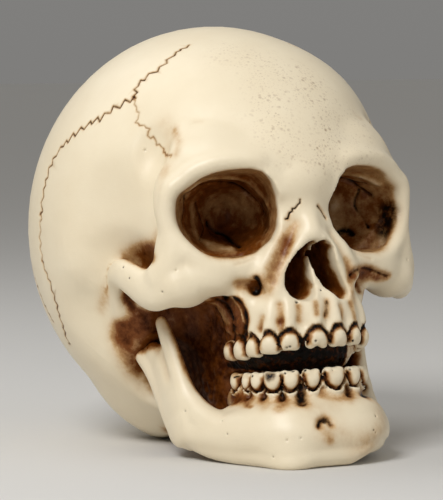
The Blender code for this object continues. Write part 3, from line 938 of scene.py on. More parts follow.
    def build(self) -> Clay:
        """Models the whole casting above the lower jaw.

        Returns:
            The clay, before it is stained.
        """
        clay = self.braincase()
        roots = [tooth.root(self.roots) for tooth in UPPER_TEETH]
        gum = Roll(web(UPPER_TEETH, 2.8, 1.0, 0.9), squeeze=(1, 1, 1.2), step=1.0, mirror=False)
        clay.add(lay(self.orbit_edges(), *self.brow_forms, *self.cheek_forms, *self.jaw_forms, *roots, gum,
                     *self.nasal_forms, *self.mouth_forms))
        clay.melt(self.face_voxel, 6)
        clay.soften(self.soft_places, 45)
        for push in self.brow_pushes:
            clay.push(*push)
        self.openings(clay)
        clay.cut(lay(TABLE))
        clay.melt(self.voxel, 4)
        places = clay.points
        face = step_up(-places[:, 1], 0, 45) * step_up(-places[:, 2], -150, -125)
        clay.thin(face, self.thinning)
        hooks = [np.array(self.hook_path, float) * (side, 1, 1) for side in Hand.BOTH.value]
        for _ in range(2):
            clay.refine(hooks, self.hook_reach, self.hook_edge)
        places = clay.points
        x, y, z = np.abs(places[:, 0]), places[:, 1], places[:, 2]
        recess = step_up(-x, -31, -27) * step_up(y, -76, -70) * step_up(-y, 0, 8) * step_up(-z, -68, -62)
        clay.roughen(recess, self.scar_height, self.recess_grain)
        bar = (x < 22) * step_up(-z, -49.5, -48.5) * step_up(z, 38, 40) * step_up(-y, 45, 50)
        clay.roughen(bar, self.scar_height, self.fill_grain)
        return clay


def within(outline: tuple, across: np.ndarray, up: np.ndarray) -> np.ndarray:
    """Whether points lie inside an outline.

    Args:
        outline: Corners in order.
        across: First coordinate of the points.
        up: Second coordinate of the points.

    Returns:
        True for each point inside.
    """
    inside = np.zeros(len(across), bool)
    for (x0, z0), (x1, z1) in zip(outline, outline[1:] + outline[:1]):
        crossing = (z0 > up) != (z1 > up)
        if z1 != z0:
            inside ^= crossing & (across < (x1 - x0) * (up - z0) / (z1 - z0) + x0)
    return inside


@dataclass(frozen=True)
class Tooth:
    """One crown: its middle, its size in mm, its turn in degrees and the dent in its biting edge."""

    place: Point
    width: float
    height: float
    turn: float
    notch: float = 0.0

    def outward(self) -> Vector:
        """The way the crown faces."""
        angle = math.radians(self.turn)
        return Vector((math.sin(angle), -math.cos(angle), 0))

    def root(self, stops: tuple[Point, ...]) -> Roll:
        """The root that stands out on the jaw.

        Args:
            stops: Inset behind the crown's middle, height and radius along it.

        Returns:
            The root's roll of clay.
        """
        out, (x, y, _) = self.outward(), self.place
        knots = tuple((x - out.x * inset, y - out.y * inset, z, radius) for inset, z, radius in stops)
        return Roll(knots, step=1.0, mirror=False)

    def outline(self, places: np.ndarray, tip: int) -> tuple[np.ndarray, np.ndarray]:
        """Where points lie against the crown seen from in front.

        Args:
            places: Points in mm.
            tip: -1 where the biting edge is below, 1 where it is above.

        Returns:
            1 on the crown's outline and more outside it, and the height from -1 at the gum to 1 at the tip.
        """
        out = self.outward()
        across = np.array([-out.y, out.x, 0])
        u = (places - np.array(self.place)) @ across / (self.width / 2)
        w = (places[:, 2] - self.place[2]) * tip / (self.height / 2)
        wide = CROWN_WAIST + CROWN_FLARE * np.clip(w, -1, 1)
        return (np.abs(u / wide) ** 2.3 + np.abs(w) ** 2.3) ** (1 / 2.3), w


# Share of a crown's width at its middle, and what is added at the tip and lost at the gum
CROWN_WAIST = 0.9
CROWN_FLARE = 0.27
FRONT_UPPER = (
    Tooth((-3.2, -93.3, 51.1), 10.2, 8.8, -3, 2.0), Tooth((6.6, -92.8, 51.3), 8.8, 8.8, 7, 0.6),
    Tooth((-14.2, -90.6, 50.4), 9.6, 8.2, -18, 0.3), Tooth((15.2, -89.8, 51.1), 8.0, 8.6, 21, 0.6),
    Tooth((-20.5, -86.0, 49.1), 9.4, 8.6, -42, 0.0), Tooth((21.8, -85.0, 49.6), 8.8, 8.8, 46, 0.0),
)
BACK_UPPER = (
    Tooth((23.3, -78.2, 47.4), 8.4, 8.8, 70, 0.3), Tooth((24.6, -69.8, 45.9), 9.0, 9.2, 80, 0.2),
    Tooth((25.4, -61.8, 44.7), 7.8, 8.6, 86, 0.2),
)
FRONT_LOWER = (
    Tooth((-5.2, -92.2, 34.6), 8.2, 8.6, -5, 0.9), Tooth((4.9, -92.3, 34.7), 10.6, 9.0, 5, 0.6),
    Tooth((-13.7, -90.0, 34.3), 8.4, 8.6, -18, 0.9), Tooth((15.0, -89.4, 34.4), 8.2, 8.4, 20, 0.5),
    Tooth((-19.3, -86.1, 33.8), 9.0, 8.4, -36, 0.6), Tooth((22.0, -84.0, 34.0), 8.4, 8.2, 44, 0.5),
)
BACK_LOWER = (
    Tooth((22.2, -79.2, 33.2), 7.6, 8.0, 64, 0.6), Tooth((23.1, -72.8, 32.6), 6.8, 7.8, 78, 0.6),
    Tooth((23.9, -64.4, 31.9), 8.0, 7.6, 84, 0.8),
)


def both_sides(teeth: tuple[Tooth, ...]) -> tuple[Tooth, ...]:
    """The teeth and their mirror images."""
    made = []
    for tooth in teeth:
        x, y, z = tooth.place
        made += [tooth, Tooth((-x, y, z), tooth.width, tooth.height, -tooth.turn, tooth.notch)]
    return tuple(made)


UPPER_TEETH = FRONT_UPPER + both_sides(BACK_UPPER)
LOWER_TEETH = FRONT_LOWER + both_sides(BACK_LOWER)


def web(teeth: tuple[Tooth, ...], radius: float, inward: float, lift: float) -> tuple[Knot, ...]:
    """Path of the low ground between a jaw's crowns, from its right end to its left end.

    Args:
        teeth: Every crown.
        radius: The ground's radius in mm.
        inward: How far behind the crowns' middles it runs.
        lift: How far above them it runs.

    Returns:
        Points with their radius.
    """
    path = []
    for tooth in sorted(teeth, key=lambda one: math.atan2(one.place[0], -one.place[1] - 60)):
        place = Vector(tooth.place) - tooth.outward() * inward
        path.append((place.x, place.y, place.z + lift, radius))
    return tuple(path)


@dataclass
class Mandible:
    """The lower jaw. Every size is in mm."""

    voxel: float = 0.8
    # The body, its lower border and its upper part
    body_forms: tuple[Roll, ...] = (
        Roll(((0, -97.5, 12, 10.5), (11, -97.5, 12, 10.5), (18, -95.2, 12, 10.3), (24, -88, 12, 9.5),
              (29.5, -78, 11.5, 8.8), (34, -68, 11, 8.2), (38.5, -57, 11.5, 7.5)),
             squeeze=(0.9, 0.92, 1.0), detail=3),
        Roll(((0, -101.8, 4.9, 5), (9, -101.8, 4.8, 5), (15, -101.3, 4.6, 5), (20, -98.5, 4.4, 5),
              (24.5, -91, 4.4, 5), (28.5, -82, 4.6, 5), (32, -74, 4.8, 5), (35.5, -65, 5.8, 5),
              (38.5, -57, 8, 5)), detail=3),
        Roll(((0, -95, 18.5, 8.3), (12, -95, 18.5, 8.3), (19.5, -92, 18, 8), (26, -84.5, 16.5, 7.2),
              (31.5, -75, 15, 6.6)), squeeze=(0.9, 1, 1), detail=3),
        Roll(((0, -87, 27, 6), (11, -85, 27, 6), (17.5, -80, 26.5, 5.4), (21, -72, 26, 4.4),
              (22.4, -65, 25.5, 4.2), (22.4, -59, 24, 4)), squeeze=(0.9, 1.05, 1.35), detail=3),
        Roll(((0, -90.5, 23.5, 7), (11, -89, 23.5, 7), (18, -84.5, 22.5, 6.6), (23.5, -76, 20, 6.2),
              (28, -67, 17, 5.6)), squeeze=(1, 1, 1.1), detail=3),
    )
    # The branch: its two ridges, the head of the joint and the plate between them
    branch_forms: tuple[Form, ...] = (
        Roll(((46.5, -10, 45.5, 3.8), (45.5, -16.5, 41, 3.8), (44, -26, 33, 4.4), (42.5, -34, 22, 5.2),
              (41, -42.5, 13, 6.2), (39, -51, 10, 7.2)), squeeze=(0.8, 1, 1)),
        Roll(((44.5, -35, 55, 3.2), (44, -38.5, 50, 4), (43, -42.5, 42, 4.8), (42, -45.5, 34, 5.6),
              (40.5, -50, 25, 6.4), (38, -58, 17.5, 7.5), (35, -67, 14, 7.5)), squeeze=(0.8, 1, 1)),
        Lump((46.5, -10, 46), (3.4, 4.6, 3.8)),
    )
    plate_x: float = 42.8
    plate_half: float = 3.7
    plate_turn: float = 6
    # Depth and height of the plate's lumps, and their half sizes along both
    plate: tuple = ((-25, 41, 7.5, 6), (-32, 37, 11, 10), (-37, 30, 12.5, 12), (-42, 22, 13, 12),
                    (-47, 14, 12, 10))
    # Inset behind the crown's middle, height and radius along each root
    roots: tuple[Point, ...] = ((1.6, 32, 2.8), (2.0, 27, 2.7), (3.0, 21, 2.5))
    soft_places: tuple = (
        ((42, -38, 26), (16, 26, 26), 0.7), ((20, -98, 14), (26, 18, 14), 1.0),
        ((34, -74, 13), (16, 26, 16), 1.0), ((8, -96, 22), (24, 14, 10), 1.0),
        ((26, -82, 21), (14, 18, 10), 1.0),
    )
    # The uneven corners of the chin and of the left border
    border_pushes: tuple[Push, ...] = (
        ((21, -101, 1), (17, 17, 14), (-1.8, 1.0, 4.2)), ((31, -82, 0), (18, 22, 14), (-0.5, 0, 4.0)),
        ((38, -62, 2), (16, 22, 14), (0, 0, 2.6)), ((-23, -103, 3), (16, 16, 10), (-0.5, -1.7, -1.6)),
    )

    def build(self) -> Clay:
        """Models the jaw from chin to condyle.

        Returns:
            The clay, before it is stained.
        """
        plate = [Lump((self.plate_x, y, z), (self.plate_half, width, height), turn=(0, 0, self.plate_turn))
                 for y, z, width, height in self.plate]
        roots = [tooth.root(self.roots) for tooth in LOWER_TEETH]
        gum = Roll(web(LOWER_TEETH, 2.6, 0.9, -0.9), squeeze=(1, 1, 1.2), step=1.0, mirror=False)
        clay = Clay("mandible", lay(*self.body_forms, *self.branch_forms, *plate, *roots, gum))
        clay.melt(self.voxel, 6)
        clay.soften(self.soft_places, 90)
        for push in self.border_pushes:
            clay.push(*push, mirror=False)
        clay.cut(lay(TABLE))
        clay.melt(self.voxel, 1)
        return clay


def crowns(name: str, teeth: tuple[Tooth, ...], tip: int, depth: float) -> Clay:
    """Models a jaw's crowns, which are cast together along their tips.

    Args:
        name: The piece's name.
        teeth: Every crown.
        tip: -1 where the biting edges are below, 1 where they are above.
        depth: Size of a crown from front to back.

    Returns:
        The clay.
    """
    bm = bmesh.new()
    for tooth in teeth:
        place = Matrix.Translation(tooth.place) @ Matrix.Rotation(math.radians(tooth.turn), 4, "Z")
        for vert in bmesh.ops.create_icosphere(bm, subdivisions=4, radius=1)["verts"]:
            edge = max(0.0, vert.co.z * tip)
            square = 0.95 - 0.35 * edge
            u, v, w = (math.copysign(abs(c) ** square, c) for c in vert.co)
            wide = CROWN_WAIST + CROWN_FLARE * w * tip
            dent = tooth.notch * math.exp(-(u / 0.25) ** 2) * edge
            vert.co = place @ Vector((u * wide * tooth.width / 2, v * (1 - 0.3 * edge) * depth / 2,
                                      w * tooth.height / 2 - dent * tip))
    clay = Clay(name, bm)
    clay.melt(0.5, 3)
    return clay


@dataclass(frozen=True)
class GumLine:
    """The black-brown line round each crown, where the gum was.

    Tip is -1 where the biting edges are below and 1 where they are above. Thick is the line's width as a
    share of half a crown, and rim the height in mm of the pale edge that is raised outside it.
    """

    teeth: tuple[Tooth, ...]
    tip: int
    thick: float
    rim: float = 0.0
    reach: float = 11.0
    wobble: float = 0.1
    wobble_scale: float = 0.55
    # How much farther a place may be from its own crown than from the next one
    overlap: float = 0.25
    halo_middle: float = 1.05
    halo_width: float = 0.36
    halo_stain: float = 0.7
    rim_middle: float = 1.2
    rim_width: float = 0.13
    rim_wiped: float = 0.85
    line_depth: float = 0.6

    def draw(self, clay: Clay) -> None:
        """Stains and cuts the line on a piece, and raises the edge outside it."""
        places, normals = clay.points, clay.normals
        soot, patina, lift = (clay.layer(name) for name in ("soot", "patina", "lift"))
        moved = places.copy()
        for tooth in self.teeth:
            near = np.nonzero(np.linalg.norm(places - np.array(tooth.place), axis=1) < self.reach)[0]
            outward = np.array(tooth.outward())
            near = near[(places[near] - np.array(tooth.place)) @ outward > 0]
            where, height = tooth.outline(places[near], self.tip)
            where += [self.wobble * noise.noise(Vector(place) * self.wobble_scale) for place in places[near]]
            nearest = np.ones(len(near), bool)
            for other in self.teeth:
                if other is not tooth:
                    nearest &= other.outline(places[near], self.tip)[0] > where - self.overlap
            gum = step_up(-height, -0.9, -0.3)
            outside = step_up(where, 1.0 + self.thick, 1.12 + self.thick)
            line = step_up(where, 0.88, 0.99) * (1 - outside) * gum
            soot[near] = np.maximum(soot[near], np.where(nearest, line, 0))
            halo = np.exp(-((where - self.halo_middle) / self.halo_width) ** 2) * gum * self.halo_stain
            patina[near] = np.maximum(patina[near], np.where(nearest, halo, 0))
            raised = np.exp(-((where - self.rim_middle - self.thick) / self.rim_width) ** 2)
            raised *= step_up(-height, 0.1, 0.6)
            moved[near] += normals[near] * (np.where(nearest, raised, 0) * self.rim)[:, None]
            if self.rim:
                lift[near] = np.maximum(lift[near], np.where(nearest, raised, 0) * self.rim_wiped)
            moved[near] -= normals[near] * (np.where(nearest, line, 0) * self.line_depth)[:, None]
        clay.points = moved
        clay.layers.update(soot=soot, patina=patina, lift=lift)


UPPER_GUM = GumLine(UPPER_TEETH, -1, 0.3)
LOWER_GUM = GumLine(LOWER_TEETH, 1, 0.14)


SUTURE = dict(width=0.42, depth=0.4, stain=0.4, stain_width=0.9, soot=0.85, soot_width=0.34, zigzag=1.15,
              zigzag_step=2.3)
FINE_SUTURE = dict(width=0.4, depth=0.22, stain=0.3, stain_width=0.7, soot=0.3, soot_width=0.26, zigzag=0.35,
                   zigzag_step=1.5)
PIT = dict(width=0.5, depth=0.5, soot=0.85, soot_width=0.42)
STREAK = dict(width=1.8, depth=0.6, stain=0.4, stain_width=2.0, mirror=False)
CRANIUM_MARKS = (
    # coronal suture, its lower branch and the suture over the temple
    Mark(((190.5, 45), (175, 53), (167, 61), (158, 69), (145, 78), (136, 86), (136, 93), (134, 98)),
         **SUTURE),
    Mark(((134, 99), (136, 108), (139, 115), (136, 123), (149, 129), (147, 137), (156, 138), (156, 144),
          (163, 147), (165, 154), (171, 156)), **FINE_SUTURE),
    Mark(((134, 98), (126, 102), (112, 110), (98, 120), (84, 126), (72, 136), (62, 146), (54, 157), (47, 178),
          (42, 200), (41, 214)), **(SUTURE | dict(zigzag=1.6, zigzag_step=2.6))),
    Mark(((41, 214), (40, 240), (42, 260)), **(SUTURE | dict(soot=0.25, stain=0.3))),
    Mark(((42, 260), (47, 275), (53, 292), (57, 308), (62, 325), (70, 345)), **SUTURE),
    # lines along the top and across the back of the head, placed in mm
    Mark((), points=((0, 24, 175.4), (0, 40, 170), (0, 66, 154), (0, 86, 130)),
         **(SUTURE | dict(mirror=False))),
    Mark((), points=((0, 86, 130), (20, 86, 122), (42, 74, 108), (58, 56, 90), (66, 38, 70), (66, 26, 52)),
         **SUTURE),
    # painted shade in the hollow of the temple, behind the ridge that rises from the orbit's outer rim
    Mark(((164, 124), (171, 138), (168, 154), (163, 168)), stain=0.16, stain_width=5.6),
    Mark(((175, 130), (179, 142), (176, 154)), stain=0.22, stain_width=2.2),
    Mark(((165, 170), (160, 190)), stain=0.1, stain_width=3.0),
    # recess behind the arch
    Mark(((128, 254), (140, 250), (152, 250)), stain=0.35, stain_width=4.0),
    Mark(((144, 254), (154, 258)), stain=0.45, stain_width=3.0),
    Mark(((152, 244), (157, 234)), stain=0.18, stain_width=3.4),
    # brown wash beside the hook of the arch, and painted shade with it in the recess behind the jaw joint
    Mark(((106, 290), (103, 300), (101, 309)), stain=0.25, stain_width=3.2),
    Mark(((127, 296), (133, 308), (142, 316)), stain=0.8, stain_width=2.6, soot=0.2, soot_width=1.4),
    Mark(((122, 326), (135, 322), (150, 318), (165, 312)), stain=0.7, stain_width=3.6),
    Mark(((126, 338), (140, 332), (154, 328)), stain=0.7, stain_width=4.6),
    Mark(((120, 335), (126, 346), (138, 366)), stain=0.45, stain_width=4.4),
    Mark(((116, 332), (118, 350), (130, 370), (146, 385)), stain=0.2, stain_width=6.0),
    # recess between the jaws: dark grooves and brown wash, with painted shade of the deep recess
    Mark(((192, 312), (194, 340), (202, 370), (212, 393)), stain=0.55, stain_width=8.0),
    Mark(((210, 308), (222, 335), (226, 365)), stain=0.6, stain_width=5.0),
    Mark(((239, 303), (246, 318), (247, 334)), stain=0.6, stain_width=2.2),
    Mark(((199, 305), (212, 301), (224, 303), (233, 313), (238, 330)), stain=0.6, stain_width=3.0),
    Mark(((224, 297), (234, 299), (242, 307), (246, 320), (245, 334)), width=1.0, depth=1.0, stain=0.7,
         stain_width=1.6, soot=1.0, soot_width=1.15),
    Mark(((217, 300), (226, 305), (232, 316), (234, 328), (233, 341)), width=0.8, depth=0.9, stain=0.7,
         stain_width=1.6, soot=0.95, soot_width=0.85),
    Mark(((207, 304), (216, 309), (222, 320), (225, 334)), width=0.8, depth=0.6, soot=0.5, soot_width=0.6),
    # beside the nose
    Mark(((294, 224), (289, 236), (283, 250), (277, 263), (271, 278)), width=3.4, depth=1.4, stain=0.3,
         stain_width=3.4, mirror=False),
    Mark(((286, 240), (281, 254), (273, 268), (268, 290)), stain=0.28, stain_width=4.6, mirror=False),
    Mark(((289, 240), (286, 247), (283, 254)), stain=0.3, stain_width=1.2, mirror=False),
    Mark(((332, 232), (340, 246), (347, 262), (350, 280)), width=2.4, depth=0.8, stain=0.16, stain_width=1.8,
         mirror=False),
    Mark(((348, 262), (352, 282), (354, 300)), stain=0.3, stain_width=3.0, mirror=False),
    Mark(((301, 200), (298, 206), (294, 208), (290, 213), (286, 219)), width=0.5, depth=0.5, soot=0.95,
         soot_width=0.38, zigzag=0.3, zigzag_step=1.4, stain=0.3, stain_width=0.9, mirror=False),
    Mark(((318, 206), (322, 211), (326, 218)), width=0.6, depth=0.7, soot=0.9, soot_width=0.4, stain=0.35,
         stain_width=1.2, mirror=False),
    # under the orbit
    Mark(((240, 285), (252, 285)), width=3.6, depth=1.9, stain=0.5, stain_width=3.3),
    Mark(((256, 279), (258, 285), (256, 292)), width=1.5, depth=0.5, soot=1.0, soot_width=1.6,
         stain=0.5, stain_width=2.2, mirror=False),
    Mark(((236, 265), (246, 262), (255, 258)), width=0.8, depth=0.2, stain=0.1, stain_width=1.2),
    Mark(((353, 275), (358, 270), (368, 269), (380, 274), (388, 277)), width=1.2, depth=1.2, stain=0.5,
         stain_width=2.4, soot=0.85, soot_width=0.6, mirror=False),
    Mark(((366, 274), (380, 281)), width=3.0, depth=1.2, stain=0.3, stain_width=3.2, mirror=False),
    Mark(((353, 275), (356, 284), (360, 291)), width=1.0, depth=0.7, stain=0.6, stain_width=1.4,
         mirror=False),
    Mark(((366, 276), (378, 280)), stain=0.4, stain_width=1.6, mirror=False),
    # inside the right orbit
    Mark(((180, 202), (187, 195), (198, 187), (214, 183), (230, 184), (246, 193), (262, 212)),
         width=1.2, depth=1.3, soot=0.8, soot_width=0.7),
    Mark(((186, 190), (200, 181), (218, 177), (238, 178), (256, 188), (268, 204)),
         width=1.6, depth=-0.9, stain=-0.3, stain_width=1.6),
    Mark(((186, 197), (184, 212), (185, 234)), width=0.8, depth=1.0, soot=1.0, soot_width=0.6),
    Mark(((208, 222), (216, 231), (227, 236), (240, 247)), width=0.9, depth=0.9, soot=0.9, soot_width=0.8),
    Mark(((196, 203), (199, 212), (204, 228), (200, 240)), width=0.8, depth=0.6, soot=0.6, soot_width=0.4),
    Mark(((215, 245), (228, 249)), width=5.0, depth=-1.4),
    Mark(((192, 207), (193, 222), (196, 235)), stain=-0.4, stain_width=2.6),
    Mark(((214, 204), (232, 202), (248, 212)), stain=-0.42, stain_width=8.0),
    Mark(((208, 246), (230, 251)), stain=-0.5, stain_width=4.0),
    Mark(((208, 226), (217, 235), (228, 240), (240, 250)), width=1.4, depth=1.0, stain=0.6, stain_width=2.0),
    Mark(((264, 210), (267, 228)), soot=0.5, soot_width=4.0, mirror=False),
    # inside the left orbit
    Mark(((338, 233), (345, 230), (352, 234)), width=1.4, depth=0.8, soot=1.0, soot_width=1.5, mirror=False),
    Mark(((334, 200), (342, 210), (346, 224)), stain=-0.25, stain_width=5.0, mirror=False),
    Mark(((388, 212), (386, 228)), soot=0.9, soot_width=5.0, stain=0.4, stain_width=6.0, mirror=False),
    Mark(((340, 178), (352, 182), (366, 184)), width=0.8, depth=0.6, soot=0.5, soot_width=0.6, mirror=False),
    # between the roots of the upper teeth
    Mark(((262, 318), (260, 329)), **STREAK), Mark(((280, 305), (281, 322)), **STREAK),
    Mark(((299, 306), (299, 320)), **STREAK), Mark(((316, 302), (317, 313)), **STREAK),
    Mark(((327, 301), (326, 315)), **(STREAK | dict(soot=0.8))), Mark(((341, 306), (343, 317)), **STREAK),
    Mark(((351, 303), (356, 318)), **STREAK), Mark(((280, 322), (281, 330)), **(STREAK | dict(stain=0.35))),
    # pores
    Mark(((297, 301.5),), **(PIT | dict(width=0.7, depth=0.9, soot=1.0, soot_width=0.6, mirror=False))),
    Mark(((321, 290),), **(PIT | dict(mirror=False))),
    Mark(((123, 267),), **PIT), Mark(((129, 278),), **PIT), Mark(((162, 292),), **PIT),
    Mark(((176, 270),), **(PIT | dict(soot=0.3))), Mark(((145, 150),), **(PIT | dict(soot=0.3))),
    # specks on the forehead
    Mark(((240, 55), (275, 70), (300, 90), (325, 100)), freckle=0.6, stain_width=11.0, mirror=False),
    Mark(((300, 75), (325, 110), (330, 140), (320, 158)), freckle=0.9, stain_width=9.0, mirror=False),
    Mark(((268, 80), (272, 120), (290, 145)), freckle=0.7, stain_width=9.0, mirror=False),
    Mark(((355, 120), (365, 145), (345, 165)), freckle=0.5, stain_width=8.0, mirror=False),
)
GUM_PIT = dict(width=1.5, depth=1.7, stain=0.6, stain_width=2.7, soot=1.0, soot_width=1.5, mirror=False)
MANDIBLE_MARKS = (
    Mark(((319, 426), (320, 421), (325, 418), (330, 421), (331, 424)), width=1.4, depth=1.2, soot=0.9,
         soot_width=0.8, stain=0.4, stain_width=1.9, mirror=False),
    Mark(((325, 421),), width=1.5, depth=0.8, soot=0.8, soot_width=1.1, mirror=False),
    Mark(((376, 416),), **(PIT | dict(mirror=False))), Mark(((374, 430),), **(PIT | dict(mirror=False))),
    Mark(((327, 436), (330, 441)), stain=0.25, stain_width=2.2, mirror=False),
    # painted shade low on the left side of the chin, where less light falls
    Mark(((380, 408), (382, 425), (372, 440)), stain=0.2, stain_width=7.0, mirror=False),
    Mark(((325, 432), (345, 436), (358, 446)), stain=0.18, stain_width=7.0, mirror=False),
    Mark(((154, 342), (160, 356), (166, 376)), width=3.0, depth=1.0, stain=0.16, stain_width=3.0),
    Mark(((228, 400), (260, 403), (300, 406), (340, 403), (366, 396)), stain=0.14, stain_width=5.0,
         mirror=False),
    Mark(((264, 400), (266, 407)), stain=0.2, stain_width=3.0, mirror=False),
    Mark(((283, 402), (280, 409)), stain=0.3, stain_width=3.0, mirror=False),
    Mark(((247, 390), (248, 397)), **(GUM_PIT | dict(soot=0.2))),
    Mark(((263, 386), (263, 397)), **GUM_PIT), Mark(((281, 387), (282, 398)), **(GUM_PIT | dict(width=1.4))),
    Mark(((301, 387), (302, 402)), **(GUM_PIT | dict(width=2.0, soot_width=2.1, depth=2.1, stain_width=3.4))),
    Mark(((349, 388), (349, 394)), **(GUM_PIT | dict(soot=0.8))), Mark(((363, 386), (364, 396)), **GUM_PIT),
    Mark(((322, 393), (334, 397), (347, 398)), stain=0.26, stain_width=3.0, mirror=False),
    Mark(((319, 386), (322, 395)), stain=0.3, stain_width=2.2, mirror=False),
    Mark(((247, 406), (251, 407)), stain=0.4, stain_width=1.2, mirror=False),
    Mark(((228, 392), (222, 402)), stain=0.5, stain_width=3.0),
    Mark(((234, 391), (237, 402)), stain=0.5, stain_width=3.0),
    Mark(((226, 384), (234, 397), (248, 401)), stain=0.55, stain_width=3.2),
    Mark(((185, 411),), **(PIT | dict(soot=0.4))), Mark(((222, 421),), **(PIT | dict(soot=0.3))),
    Mark(((227, 434),), **(PIT | dict(soot=0.4))), Mark(((273, 457),), **(PIT | dict(soot=0.4))),
    Mark(((287, 440),), **(PIT | dict(soot=0.3))), Mark(((301, 438),), **(PIT | dict(soot=0.3))),
    Mark(((147, 348),), **PIT),
)
DENT = dict(width=0.6, depth=0.5, soot=1.0, soot_width=0.55, mirror=False)
UPPER_MARKS = (
    Mark(((316, 341), (317, 348)), **DENT), Mark(((287, 348),), **DENT), Mark(((290, 347),), **DENT),
    Mark(((337, 348), (341, 347)), **(DENT | dict(soot_width=0.8))), Mark(((353, 341), (353, 346)), **DENT),
    Mark(((240, 333),), **DENT),
)
LOWER_MARKS = (
    Mark(((234, 377), (239, 376)), **DENT), Mark(((251, 373), (252, 376)), **DENT),
    Mark(((268, 370), (270, 376), (275, 371)),
         **(DENT | dict(soot_width=2.3, stain=0.4, stain_width=2.6, depth=0.2))),
    Mark(((293, 371),), **(DENT | dict(soot_width=0.8))), Mark(((285, 373),), **DENT),
    Mark(((305, 370),), **(DENT | dict(soot_width=0.8))), Mark(((350, 369),), **DENT),
    Mark(((333, 366), (333, 370)), **(DENT | dict(soot=0.5, soot_width=0.3))),
    Mark(((367, 386),), **DENT),
)


def add_node(tree: bpy.types.NodeTree, kind: str, settings: dict | None = None,
             links: dict | None = None) -> bpy.types.Node:
    """Adds a node.

    Args:
        tree: The material's nodes.
        kind: The node's type.
        settings: Attributes, and socket values where the key is a socket's number or name.
        links: What feeds each input socket.

    Returns:
        The node.
    """
    made = tree.nodes.new(kind)
    for key, value in (settings or {}).items():
        if isinstance(key, int) or key in made.inputs:
            made.inputs[key].default_value = value
        else:
            setattr(made, key, value)
    for key, source in (links or {}).items():
        tree.links.new(source, made.inputs[key])
    return made


